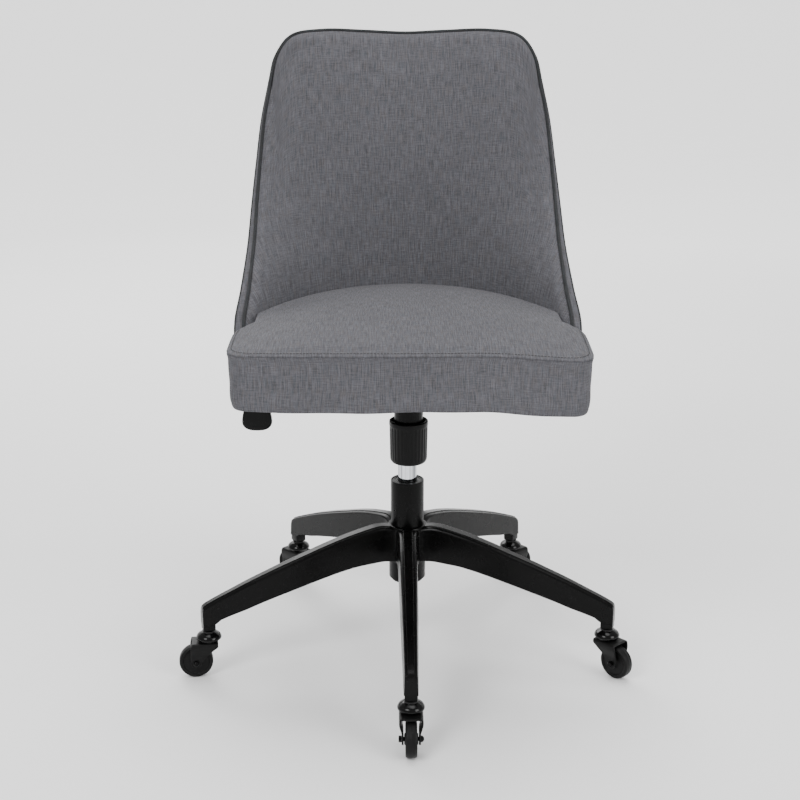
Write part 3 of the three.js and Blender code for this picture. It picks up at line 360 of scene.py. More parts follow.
# ---------------------------------------------------------------- finishes
class Recipe:
    """A material's nodes, added one by one."""

    def __init__(self, name: str) -> None:
        """Starts a material with its shader and output.

        Args:
            name: the material's name.
        """
        self.material = bpy.data.materials.new(name)
        self.material.use_nodes = True
        self.nodes = self.material.node_tree.nodes
        self.links = self.material.node_tree.links
        self.shader = self.nodes["Principled BSDF"]

    def put(self, kind: str, **inputs: object) -> bpy.types.Node:
        """Adds a node; each named input takes a value or another node's output."""
        node = self.nodes.new(kind)
        for name, value in inputs.items():
            self.feed(node.inputs[name.replace("_", " ")], value)
        return node

    def feed(self, socket: bpy.types.NodeSocket, value: object) -> None:
        """Links an output to a socket, or sets the socket's own value."""
        if isinstance(value, bpy.types.NodeSocket):
            self.links.new(value, socket)
        else:
            socket.default_value = value

    def place(self, cloth: bool, scale: Sequence[float], turn_deg: float = 0.0) -> bpy.types.NodeSocket:
        """Coordinates, from the cloth or the object, turned and scaled."""
        if cloth:
            source = self.nodes.new("ShaderNodeUVMap")
            source.uv_map = "cloth"
            start = source.outputs["UV"]
        else:
            start = self.nodes.new("ShaderNodeTexCoord").outputs["Object"]
        mapping = self.put("ShaderNodeMapping", Vector=start)
        mapping.inputs["Rotation"].default_value = (0, 0, math.radians(turn_deg))
        mapping.inputs["Scale"].default_value = tuple(scale)
        return mapping.outputs["Vector"]

    def noise(self, place: bpy.types.NodeSocket, scale: float, detail: float = 2.0) -> bpy.types.NodeSocket:
        """Fractal noise at a place."""
        return self.put("ShaderNodeTexNoise", Vector=place, Scale=scale, Detail=detail).outputs["Fac"]

    def range(
        self, value: bpy.types.NodeSocket, low: float, high: float, to_low: float, to_high: float
    ) -> bpy.types.NodeSocket:
        """A value carried from one range to another, and held inside it."""
        node = self.put("ShaderNodeMapRange", Value=value)
        for name, number in (("From Min", low), ("From Max", high), ("To Min", to_low), ("To Max", to_high)):
            node.inputs[name].default_value = number
        return node.outputs["Result"]

    def sum(self, kind: str, first: object, second: object) -> bpy.types.NodeSocket:
        """Two values through a Math node."""
        node = self.nodes.new("ShaderNodeMath")
        node.operation = kind
        self.feed(node.inputs[0], first)
        self.feed(node.inputs[1], second)
        return node.outputs[0]

    def blend(self, share: object, first: object, second: object) -> bpy.types.NodeSocket:
        """Two colours mixed by a share."""
        node = self.nodes.new("ShaderNodeMix")
        node.data_type = "RGBA"
        for index, value in ((0, share), (6, first), (7, second)):
            self.feed(node.inputs[index], value)
        return node.outputs[2]

    def relief(
        self, height: bpy.types.NodeSocket, depth_mm: float, strength: float = 1.0, under: object = None
    ) -> bpy.types.NodeSocket:
        """A bump of a height, over another if one is given."""
        node = self.put("ShaderNodeBump", Height=height, Strength=strength, Distance=depth_mm * MM)
        if under is not None:
            self.links.new(under, node.inputs["Normal"])
        return node.outputs["Normal"]

    def set(self, **inputs: object) -> None:
        """Feeds the shader's inputs by name."""
        for name, value in inputs.items():
            self.feed(self.shader.inputs[name.replace("_", " ")], value)


def grey(level: float, tint: Sequence[float] = (1.0, 1.0, 1.0)) -> tuple[float, float, float, float]:
    """A grey of a linear level, tinted."""
    return (level * tint[0], level * tint[1], level * tint[2], 1.0)


@dataclass(frozen=True)
class Linen:
    """A plain linen-look weave of mixed yarns, with slubs that run mostly one way.

    Attributes:
        name: the material's name.
        dark: the darkest yarn's linear level.
        light: the lightest yarn's.
        tint: the cloth's overall tint.
        pitch_mm: from one thread to the next.
        turn_deg: how far the weave is turned on the piece, as for a bias-cut strip.
    """

    name: str
    dark: float
    light: float
    tint: tuple[float, float, float] = (1.0, 0.985, 1.10)
    pitch_mm: float = 0.75
    turn_deg: float = 0.0

    def build(self) -> bpy.types.Material:
        """Threads are two waves at right angles; yarns are noises stretched along each of them.

        Returns:
            The material.
        """
        recipe = Recipe(self.name)
        turn = self.turn_deg
        threads = 1000.0 / self.pitch_mm
        warp = recipe.noise(recipe.place(True, (760, 48, 1), turn), 1.0, 2.0)
        weft = recipe.noise(recipe.place(True, (70, 620, 1), turn), 1.0, 2.0)
        fleck = recipe.noise(recipe.place(True, (560, 420, 1), turn), 1.0, 2.0)
        slub = recipe.noise(recipe.place(True, (380, 26, 1), turn), 1.0, 1.0)
        hue = recipe.noise(recipe.place(True, (620, 55, 1), turn), 1.0, 1.0)
        nap = recipe.noise(recipe.place(False, (1, 1, 1)), 16.0, 3.0)
        yarn = recipe.sum("ADD", recipe.sum("MULTIPLY", warp, 0.46), recipe.sum("MULTIPLY", weft, 0.28))
        yarn = recipe.sum("ADD", yarn, recipe.sum("MULTIPLY", fleck, 0.16))
        yarn = recipe.sum("ADD", yarn, recipe.sum("MULTIPLY", slub, 0.10))
        share = recipe.range(yarn, 0.40, 0.60, 0.0, 1.0)
        colour = recipe.blend(share, grey(self.dark, self.tint), grey(self.light, self.tint))
        cool = recipe.range(hue, 0.50, 0.62, 0.0, 0.30)
        warm = recipe.range(hue, 0.50, 0.38, 0.0, 0.30)
        middle = (self.dark + self.light) / 2
        colour = recipe.blend(cool, colour, grey(middle, (0.86, 0.99, 1.12)))
        colour = recipe.blend(warm, colour, grey(middle, (1.10, 0.99, 0.90)))
        cloud = recipe.range(nap, 0.3, 0.7, 0.0, 0.16)
        colour = recipe.blend(cloud, colour, grey(self.dark * 0.9, self.tint))
        waves = []
        for across in (True, False):
            place = recipe.place(True, (threads, threads, 1), turn)
            split = recipe.put("ShaderNodeSeparateXYZ", Vector=place)
            line = split.outputs["X" if across else "Y"]
            waves.append(recipe.sum("SINE", recipe.sum("MULTIPLY", line, math.pi), 0.0))
        weave = recipe.sum("MULTIPLY", waves[0], waves[1])
        height = recipe.sum("ADD", recipe.sum("MULTIPLY", weave, 0.35), recipe.sum("MULTIPLY", yarn, 1.6))
        wrinkle = recipe.relief(nap, 1.2, 0.5)
        normal = recipe.relief(height, 0.28, 0.9, wrinkle)
        recipe.set(Base_Color=colour, Roughness=0.92, Sheen_Weight=0.06, Sheen_Roughness=0.4)
        recipe.set(Specular_IOR_Level=0.12, Normal=normal)
        return recipe.material


@dataclass(frozen=True)
class Coating:
    """Paint, moulded plastic or rubber: a dark film with a fine relief and slight rubbing.

    Attributes:
        name: the material's name.
        level: its linear grey level.
        shine: its roughness, from the glossiest spot to the dullest.
        grain_mm: the size of its relief.
        relief_mm: the depth of its relief.
        rubbed: how far rubbed spots are lighter.
        gloss: how strongly it reflects head on.
    """

    name: str
    level: float
    shine: tuple[float, float]
    grain_mm: float
    relief_mm: float
    rubbed: float = 0.2
    gloss: float = 0.3

    def build(self) -> bpy.types.Material:
        """A fine noise for the relief and a coarse one for smears and rubbing.

        Returns:
            The material.
        """
        recipe = Recipe(self.name)
        place = recipe.place(False, (1, 1, 1))
        grain = recipe.noise(place, 1000.0 / self.grain_mm, 2.0)
        smear = recipe.noise(place, 22.0, 4.0)
        dust = recipe.noise(place, 420.0, 2.0)
        light = grey(self.level * 1.7, (1.0, 1.0, 1.02))
        colour = recipe.blend(recipe.range(smear, 0.4, 0.75, 0.0, self.rubbed), grey(self.level), light)
        colour = recipe.blend(recipe.range(dust, 0.66, 0.8, 0.0, 0.10), colour, grey(0.16))
        recipe.set(Base_Color=colour, Specular_IOR_Level=self.gloss)
        recipe.set(Roughness=recipe.range(smear, 0.3, 0.7, *self.shine))
        recipe.set(Normal=recipe.relief(grain, self.relief_mm, 0.6))
        return recipe.material


@dataclass(frozen=True)
class BareMetal:
    """Chromed or zinc-plated steel, with fine scratches drawn round or along it.

    Attributes:
        name: the material's name.
        colour: its linear colour.
        shine: its roughness, least and most.
        stretch: the scratch noise's scale on each axis.
        painted_reflection_level: how dark the darkest long band is; the long bands up the piece are painted
            reflections, dark stripes standing in for the studio's reflections.
    """

    name: str
    colour: tuple[float, float, float]
    shine: tuple[float, float]
    stretch: tuple[float, float, float] = (90, 90, 2600)
    painted_reflection_level: float = 0.85

    def build(self) -> bpy.types.Material:
        """A stretched noise for the scratches, a slow one for tarnish, and long dark bands up the piece that are
        painted reflections.

        Returns:
            The material.
        """
        recipe = Recipe(self.name)
        scratch = recipe.noise(recipe.place(False, self.stretch), 1.0, 3.0)
        tarnish = recipe.noise(recipe.place(False, (1, 1, 1)), 40.0, 3.0)
        base = (*self.colour, 1.0)
        # painted reflection: the colour of the dark stripes that stand in for reflections in the metal
        painted_reflection_dark = (*(c * self.painted_reflection_level for c in self.colour), 1.0)
        # painted reflection: band is a noise stretched along Z that paints long dark stripes up the piece, in place
        # of reflected studio stripes
        band = recipe.noise(recipe.place(False, (210, 210, 1.5)), 1.0, 1.0)
        worn = recipe.blend(recipe.range(tarnish, 0.45, 0.75, 0.0, 0.4), base, grey(0.6))
        recipe.set(Base_Color=recipe.blend(recipe.range(band, 0.46, 0.60, 0.0, 1.0), worn, painted_reflection_dark))
        recipe.set(Metallic=1.0, Roughness=recipe.range(scratch, 0.3, 0.7, *self.shine))
        recipe.set(Normal=recipe.relief(scratch, 0.02, 0.4))
        return recipe.material


@dataclass(frozen=True)
class Plywood:
    """Bent or flat birch ply: pale long grain with darker lines."""

    name: str = "plywood_birch"

    def build(self) -> bpy.types.Material:
        """A noise stretched along the grain, with a finer one for pores and their relief.

        Returns:
            The material.
        """
        recipe = Recipe(self.name)
        grain = recipe.noise(recipe.place(False, (14, 220, 60)), 1.0, 5.0)
        pores = recipe.noise(recipe.place(False, (60, 1400, 400)), 1.0, 2.0)
        early, late = (0.50, 0.34, 0.19, 1), (0.66, 0.49, 0.30, 1)
        colour = recipe.blend(recipe.range(grain, 0.35, 0.65, 0, 1), early, late)
        colour = recipe.blend(recipe.range(pores, 0.6, 0.75, 0, 0.5), colour, (0.28, 0.17, 0.09, 1))
        recipe.set(Base_Color=colour, Roughness=0.66, Normal=recipe.relief(pores, 0.1, 0.5))
        return recipe.material


@dataclass(frozen=True)
class Nonwoven:
    """The thin black spun cloth under the seat, with its grid of pressed dots."""

    name: str = "spunbond_black"

    def build(self) -> bpy.types.Material:
        """A dot at each crossing of two waves, over a fibrous noise.

        Returns:
            The material.
        """
        recipe = Recipe(self.name)
        place = recipe.place(False, (1400, 1400, 1))
        split = recipe.put("ShaderNodeSeparateXYZ", Vector=place)
        dots = recipe.sum(
            "MULTIPLY",
            recipe.sum("SINE", split.outputs["X"], 0.0),
            recipe.sum("SINE", split.outputs["Y"], 0.0),
        )
        fibre = recipe.noise(recipe.place(False, (900, 500, 900)), 1.0, 4.0)
        colour = recipe.blend(recipe.range(fibre, 0.35, 0.7, 0, 1), grey(0.006), grey(0.03))
        recipe.set(Base_Color=colour, Roughness=0.9, Sheen_Weight=0.15)
        recipe.set(Normal=recipe.relief(dots, 0.15, 0.6, recipe.relief(fibre, 0.1, 0.6)))
        return recipe.material


class Finishes:
    """Every finish of the chair, by what it covers."""

    def __init__(self) -> None:
        """Builds them all once."""
        self.upholstery = Linen("upholstery_linen", 0.053, 0.120).build()
        self.welt = Linen("welt_bias", 0.018, 0.044, (0.95, 1.0, 1.06), 0.75, 45.0).build()
        self.thread = Coating("seam_thread", 0.052, (0.7, 0.85), 0.3, 0.05, 0.2, 0.1).build()
        self.cast = Coating("cast_base_black", 0.0018, (0.22, 0.32), 1.1, 0.05, 0.10, 0.12).build()
        self.steel = Coating("steel_black", 0.0018, (0.24, 0.34), 0.9, 0.03, 0.10, 0.10).build()
        self.dome = Coating("dome_black_gloss", 0.0020, (0.08, 0.16), 1.2, 0.02, 0.10, 0.20).build()
        self.fork = Coating("fork_black_matt", 0.0034, (0.34, 0.48), 0.7, 0.04, 0.15, 0.16).build()
        self.plastic = Coating("moulded_black", 0.0024, (0.26, 0.36), 0.6, 0.04, 0.12, 0.12).build()
        self.wheel = Coating("castor_tread_black", 0.0046, (0.36, 0.55), 0.8, 0.05, 0.35, 0.14).build()
        # the chrome's painted reflection bands go down to 0.34 of its colour; the zinc keeps the milder default
        self.chrome = BareMetal("chrome", (0.74, 0.76, 0.80), (0.05, 0.12), (90, 90, 2600), 0.34).build()
        self.zinc = BareMetal("zinc_plate", (0.56, 0.57, 0.58), (0.24, 0.38), (400, 400, 400)).build()
        self.plywood = Plywood().build()
        self.nonwoven = Nonwoven().build()

    def by_slot(self) -> dict[str, bpy.types.Material]:
        """The finish for each of the record's slots, for CAD nodes that stay."""
        return {
            "fabric": self.upholstery,
            "welt_fabric": self.welt,
            "plywood": self.plywood,
            "dust_cloth": self.nonwoven,
            "cast_black": self.cast,
            "black_steel": self.steel,
            "black_plastic": self.plastic,
            "chrome": self.chrome,
            "bare_steel": self.zinc,
            "rubber": self.wheel,
        }


# ---------------------------------------------------------------- star base
@dataclass
class StarBase:
    """The cast base: a hub with five arms that taper and fall to a leg over each castor.

    Attributes:
        reach: column axis to castor stem.
        top: the arm's top, as radius against height.
        under: its lower edge.
        width: its width, as radius against width.
        draft: how far each side leans in per mm of height.
        leg_bottom: the leg's lower end.
    """

    reach: float = 310.0
    top: tuple[tuple[float, float], ...] = (
        (20, 201), (29, 203), (38, 205.5), (48, 205.3), (60, 203), (92, 195.8), (115, 189.2),
        (137, 182.2), (158, 175), (199, 161), (218, 154), (237, 147), (255, 140), (272, 132.8),
        (290, 125.4), (303, 119.8), (311, 116.0),
        (315.4, 113.6), (317.8, 111.4), (319.0, 108.4), (319.4, 104),
    )
    under: tuple[tuple[float, float], ...] = (
        (20, 149), (43, 150.5), (87, 146.5), (116, 140.5), (141, 134), (165, 127.6), (188, 121),
        (211, 114.5), (233, 108), (254, 101), (276, 95), (292, 90), (300, 84), (319.4, 82),
    )
    width: tuple[tuple[float, float], ...] = (
        (20, 37), (30, 31), (40, 27.4), (60, 26), (170, 23.6), (319.4, 18),
    )
    draft: float = 0.03
    wall: float = 3.4
    leg_bottom: float = 73.0

    def arm(self) -> Skin:
        """One arm along +X: at each radius, a section with a raised band along the top, chamfered
        shoulders, sides that lean in, and a channel underneath.

        Returns:
            The arm's skin.
        """
        knots = [np.array(line, float) for line in (self.top, self.under, self.width)]
        share = np.linspace(0, 1, 96)
        radius = 20 + 299.4 * (1 - (1 - share) ** 1.35)
        top, under, width = (np.interp(radius, k[:, 0], k[:, 1]) for k in knots)
        smooth = np.array([1, 2, 3, 2, 1]) / 9.0
        soften = lambda line: np.convolve(np.pad(line, 2, mode="edge"), smooth, "valid")
        top, under = np.where(radius < 306, soften(top), top), np.where(radius < 290, soften(under), under)
        half = width / 2
        tall = top - under
        foot = half + self.draft * tall
        fade = 1 - ease(radius, 296, 306)  # the channel ends before the leg
        roof = self.wall + (tall - self.wall - 1) * (1 - fade)
        side = [
            (0 * half, top),
            (half * 0.46, top),
            (half * 0.52, top - 1.3),
            (half * 0.80, top - 1.9),
            (half * 0.90, top - 2.6),
            (half * 0.985, top - 4.6),
            (half * 1.0, top - 7.0),
            (foot - 0.02 * tall, under + tall * 0.3),
            (foot, under + 1.0),
            (foot - 0.9, under),
            (foot - self.wall + 0.5, under),
            (foot - self.wall, under + 0.8),
            (half - self.wall - 0.3, top - roof - 2),
            (half - self.wall - 2.2, top - roof),
            (0 * half, top - roof),
        ]
        y = np.stack([s[0] for s in side], 1)
        z = np.stack([s[1] for s in side], 1)
        y = np.hstack([y, -y[:, -2:0:-1]])
        z = np.hstack([z, z[:, -2:0:-1]])
        x = np.repeat(radius[:, None], y.shape[1], 1)
        return tube_skin(np.stack([x, y, z], -1))

    def leg(self) -> Skin:
        """The square-cornered leg at the arm's end."""
        return block_skin((300.6, -8.9, self.leg_bottom), (319.2, 8.9, 100), 1.8)

    def hub(self) -> Skin:
        """The hub: a boss below the arms and a ring above them, with rounded edges."""
        profile = filleted(
            [(25.2, 117), (27.6, 117, 3.5), (27.6, 146, 2), (30.2, 151, 2), (30.2, 199, 2),
             (28.6, 203.2, 1.6), (25.2, 203.2)], 6)
        inner = np.array([(25.2, 203.2), (25.2, 117)])
        return turned_ring(np.vstack([profile, inner[:1] - [0, 1], inner[1:] + [0, 1]]), 96)

    def build(self, finishes: Finishes) -> None:
        """Makes the base.

        Args:
            finishes: the chair's finishes.
        """
        arms = [skin.moved(-90 + 72 * k, (0, 0, 0)) for k in range(5) for skin in (self.arm(), self.leg())]
        piece("base_casting", merged([self.hub(), *arms]), finishes.cast, Body.BASE,
              ["star_base"], 24)


@dataclass
class Castors:
    """Five twin-cheeked swivel castors under the arms.

    Attributes:
        reach: column axis to castor stem.
        trail: stem axis to wheel axle.
        yaws: how far each trails round from the front, degrees.
        wheel_radius: the wheel's radius.
        sheet: the fork's thickness.
    """

    reach: float = 310.0
    trail: float = 20.0
    yaws: tuple[float, ...] = (0, 42, 131, 225, 278)
    wheel_radius: float = 25.0
    sheet: float = 2.5

    def wheel(self) -> Skin:
        """The wheel about its axle: boss, dished side, rounded tread and its mould line."""
        right = filleted(
            [(3.3, 9.4), (7.0, 9.4, 0.5), (7.8, 8.6, 0.6), (8.8, 6.0, 1.2), (18.6, 5.6, 1.0), (19.4, 6.9, 0.5),
             (20.6, 7.5, 0.6), (23.2, 8.0, 1.8), (24.9, 5.4, 1.8), (24.85, 0.45), (24.95, 0.2), (24.98, 0)], 4)
        loop = np.vstack([right, (right * [1, -1])[-2::-1]])
        return laid_down(turned_ring(loop, 72)).moved(0, (self.trail, 0, self.wheel_radius))

    def fork(self) -> Skin:
        """The bent sheet: across it, the line of foot, cheek, shoulder and bridge; along X it runs
        between a rear and a front edge that depend on the height, and its thickness is laid out
        along the line's normal.

        Returns:
            The fork's skin.
        """
        half = self.sheet / 2
        right = filleted([(0, 55.2), (15.1, 55.2, 2.6), (15.1, 48.0, 3), (11.5, 36, 3), (11.5, 17.0)], 6)
        line = np.vstack([(right * [-1, 1])[::-1], right[1:]])
        line = resampled(line, np.linspace(0, 1, 120))
        y, z = line.T
        slope = np.gradient(line, axis=0)
        slope /= np.linalg.norm(slope, axis=1)[:, None]
        normal = np.stack([-slope[:, 1], slope[:, 0]], 1)
        t = np.linspace(0, 1, 20)
        rear_curve = np.outer((1 - t) ** 2, (12, 25)) + np.outer(2 * t * (1 - t), (2, 39.5))
        rear_curve += np.outer(t**2, (-13, 50.5))
        eye = np.sqrt(np.maximum(64 - (25 - z) ** 2, 0.3))
        rear = np.where(z < 25, self.trail - eye, np.interp(z, rear_curve[:, 1], rear_curve[:, 0]))
        front = np.where(z < 25, self.trail + eye, np.interp(z, [25, 46, 53, 57], [28, 28, 26.5, 25]))
        across = 0.5 - 0.5 * np.cos(np.linspace(0, np.pi, 12))
        ease_edge = 1 - 0.35 * (np.abs(2 * across - 1) > 0.999)
        out = []
        for side, order in ((1, 1), (-1, -1)):
            x = rear[:, None] + (front - rear)[:, None] * across[None, ::order]
            depth = side * half * ease_edge[None, ::order]
            yy = y[:, None] + normal[:, :1] * depth
            zz = z[:, None] + normal[:, 1:] * depth
            out.append(np.stack([x, yy, zz], -1))
        return tube_skin(np.concatenate(out, 1))

    def dome(self) -> Skin:
        """The ball-race dome and the neck over it."""
        profile = filleted(
            [(0, 57.3), (15.5, 57.3, 0.8), (16.4, 59.2, 0.6), (18.4, 60.0, 1.0), (18.7, 62.4, 1.2), (16.8, 66.4, 3.5),
             (11.2, 69.8, 1.5), (9.6, 70.4, 0.6), (9.4, 72.8), (0, 72.8)], 6)
        return turned(profile, 64)

    def axle(self) -> Skin:
        """The axle, with a low domed head on one side and a nut on the other."""
        shank = turned(np.array([(2.9, -12.6), (2.9, 12.6)]), 24)
        head_line = [(0, 12.9), (4.5, 12.9, 0.3), (4.5, 14.6, 1.6), (2.2, 17.0, 1.6), (0, 17.2)]
        head = turned(filleted(head_line, 5), 36)
        nut = turned(filleted([(0, -12.9), (4.5, -12.9), (4.5, -16.2), (3.7, -17.0), (0, -17.0)], 2), 6)
        return laid_down(merged([shank, head, nut])).moved(0, (self.trail, 0, self.wheel_radius))

    def build(self, finishes: Finishes) -> None:
        """Makes the five castors.

        Args:
            finishes: the chair's finishes.
        """
        wheel, fork, dome, axle = self.wheel(), self.fork(), self.dome(), self.axle()
        for k, yaw in enumerate(self.yaws):
            n = k + 1
            angle = math.radians(-90 + 72 * k)
            spot = (self.reach * math.cos(angle), self.reach * math.sin(angle), 0)
            turn = -90 + yaw
            piece(f"ball_race_{n}", dome.moved(0, spot), finishes.dome, Body.BASE,
                  [f"castor_dome_{n}"])
            piece(f"fork_sheet_{n}", fork.moved(turn, spot), finishes.fork, f"castor_{n}",
                  [f"castor_fork_{n}"], 50)
            piece(f"axle_bolt_{n}", axle.moved(turn, spot), finishes.steel, f"castor_{n}",
                  [f"castor_axle_{n}"])
            piece(f"wheel_{n}_tread", wheel.moved(turn, spot), finishes.wheel, f"wheel_{n}",
                  [f"castor_wheel_{n}"], 40)


# ---------------------------------------------------------------- gas lift
@dataclass
class GasLift:
    """The stand tube, its guide bush and the chromed tube that slides in it."""

    tube_top: float = 273.0

    def build(self, finishes: Finishes) -> None:
        """Makes the column.

        Args:
            finishes: the chair's finishes.
        """
        outer = [(5.4, 113), (24.2, 113, 1.2), (25, 203), (25, self.tube_top, 1.0), (23, self.tube_top),
                 (23, 203), (22.2, 117.2), (5.4, 117.2)]
        piece("stand_tube_shell", turned_ring(filleted(outer, 4), 96), finishes.steel, Body.BASE,
              ["stand_tube"])
        bush = [(14.3, 203), (22.7, 203), (22.7, 272.0, 0.5), (19.6, 272.5, 0.5), (19.2, 271.7, 0.2),
                (16.4, 271.7, 0.4),
                (15.8, 272.4, 0.4), (14.9, 272.2, 0.5), (14.3, 270.8)]
        piece("guide_bush_ring", turned_ring(filleted(bush, 4), 96), finishes.plastic, Body.BASE,
              ["guide_bush"])
        tube = [(5.6, 213), (13, 213, 0.8), (14, 214.6, 0.6), (14, 390), (12.8, 423, 0.4), (4.3, 423),
                (4.3, 408), (12.4, 406), (12.4, 219), (5.6, 219)]
        piece("pressure_tube_polished", turned_ring(filleted(tube, 4), 96), finishes.chrome, Body.MECHANISM,
              ["pressure_tube"])


# ---------------------------------------------------------------- mechanism
@dataclass
class Mechanism:
    """The tension knob, the spring and the height lever; the pressed steel stays as CAD nodes."""

    tension_y: float = -95.0
    flutes: int = 30

    def knob(self) -> Skin:
        """A turned cup whose side is fluted: r = R - d (0.5 + 0.5 cos(n a))^2 between its two rims.

        Returns:
            The knob's skin.
        """
        side = filleted(
            [(4.4, 338), (19, 334, 1), (23.6, 334, 3.4), (26.4, 338.6, 2.0), (27.3, 388, 1),
             (27.7, 390, 0.7), (27.7, 395, 0.9),
             (26.4, 396, 0.5), (22.9, 395.4, 0.4), (22.9, 393), (25, 391.6), (25, 346), (4.4, 346)], 6)
        fine = [side[0]]
        for a, b in zip(side[:-1], side[1:]):
            steps = max(1, int(abs(b[1] - a[1]) / 3)) if a[0] > 25.5 and b[0] > 25.5 else 1
            fine += [a + (b - a) * (i + 1) / steps for i in range(steps)]
        profile = np.array(fine)
        segments = self.flutes * 12
        angle = np.linspace(0, 2 * np.pi, segments, endpoint=False)
        dip = (0.5 + 0.5 * np.cos(self.flutes * angle)) ** 2 * 0.55
        r, h = profile[:, :1], profile[:, 1:2]
        fluted = ease(h, 339, 343) * (1 - ease(h, 386.5, 389)) * (r > 25.8)
        rr = r - dip * fluted
        rings = np.stack([rr * np.cos(angle), rr * np.sin(angle), np.repeat(h, segments, 1)], -1)
        quads = grid_quads(len(profile) + 1, segments, True) % (len(profile) * segments)
        return Skin(rings.reshape(-1, 3), quads).outward().moved(0, (0, self.tension_y, 0))

    def spring(self) -> Skin:
        """A coil with closed ends: the angle runs evenly, and the height eases in and out."""
        share = np.linspace(0, 1, 420)
        angle = 2 * np.pi * 7 * share
        height = 356.0 + (413.7 - 356.0) * (0.86 * share + 0.14 * ease(share, 0, 1))
        line = np.stack([14.4 * np.cos(angle), self.tension_y + 14.4 * np.sin(angle), height], 1)
        return cord_skin(line, 1.9, 10)

    def lever(self) -> Skin:
        """The lever's rod: from over the valve pin, out under the seat and down to the paddle."""
        knots = np.array([(6, 0, 432.5), (-25, 0, 432.5), (-52, 0, 432.5), (-90, 0, 426.5), (-150, 0, 419.5),
                          (-205, 0, 415), (-221, 0, 405), (-223, 0, 383)], float)
        return cord_skin(through(knots, np.linspace(0, 1, 120)), 3.9, 20)

    def paddle(self) -> Skin:
        """The grip: rings of a rounded rectangle, |x/a|^n + |y/b|^n = 1, wide and round at its foot
        and narrower at its neck.

        Returns:
            The paddle's skin.
        """
        share = np.linspace(0, 1, 60)
        z = 351 + 52 * share
        foot = np.sqrt(1 - (1 - np.clip(share / 0.30, 0, 1)) ** 2.6)
        half = (22.4 - 6.5 * ease(share, 0.25, 1.0)) * (0.12 + 0.88 * foot)
        rounding = np.sqrt(1 - (1 - np.clip((share + 0.01) / 0.12, 0, 1)) ** 2)
        thick = (7.4 - 1.2 * ease(share, 0.2, 1.0)) * rounding
        top = np.sqrt(1 - np.clip((share - 0.955) / 0.05, 0, 1) ** 2)
        angle = np.linspace(0, 2 * np.pi, 72, endpoint=False)
        c, s = np.cos(angle), np.sin(angle)
        round_x = np.sign(c) * np.abs(c) ** 0.55
        round_y = np.sign(s) * np.abs(s) ** 0.55
        x = -223 + (half * (0.9 + 0.1 * top))[:, None] * round_x
        y = (thick * (0.8 + 0.2 * top))[:, None] * round_y
        return tube_skin(np.stack([x, y, np.repeat(z[:, None], 72, 1)], -1))

    def build(self, finishes: Finishes) -> None:
        """Makes the knob, spring and lever.

        Args:
            finishes: the chair's finishes.
        """
        piece("tension_knob_fluted", self.knob(), finishes.plastic, Body.GRIP, ["tension_knob"], 30)
        coil = piece("tension_spring_coil", self.spring(), finishes.zinc, Body.MECHANISM,
                     ["tension_spring"])
        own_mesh(coil)
        piece("lever_rod_bent", self.lever(), finishes.steel, Body.LEVER, ["lever_rod"])
        piece("lever_paddle_grip", self.paddle(), finishes.plastic, Body.LEVER, ["lever_paddle"])


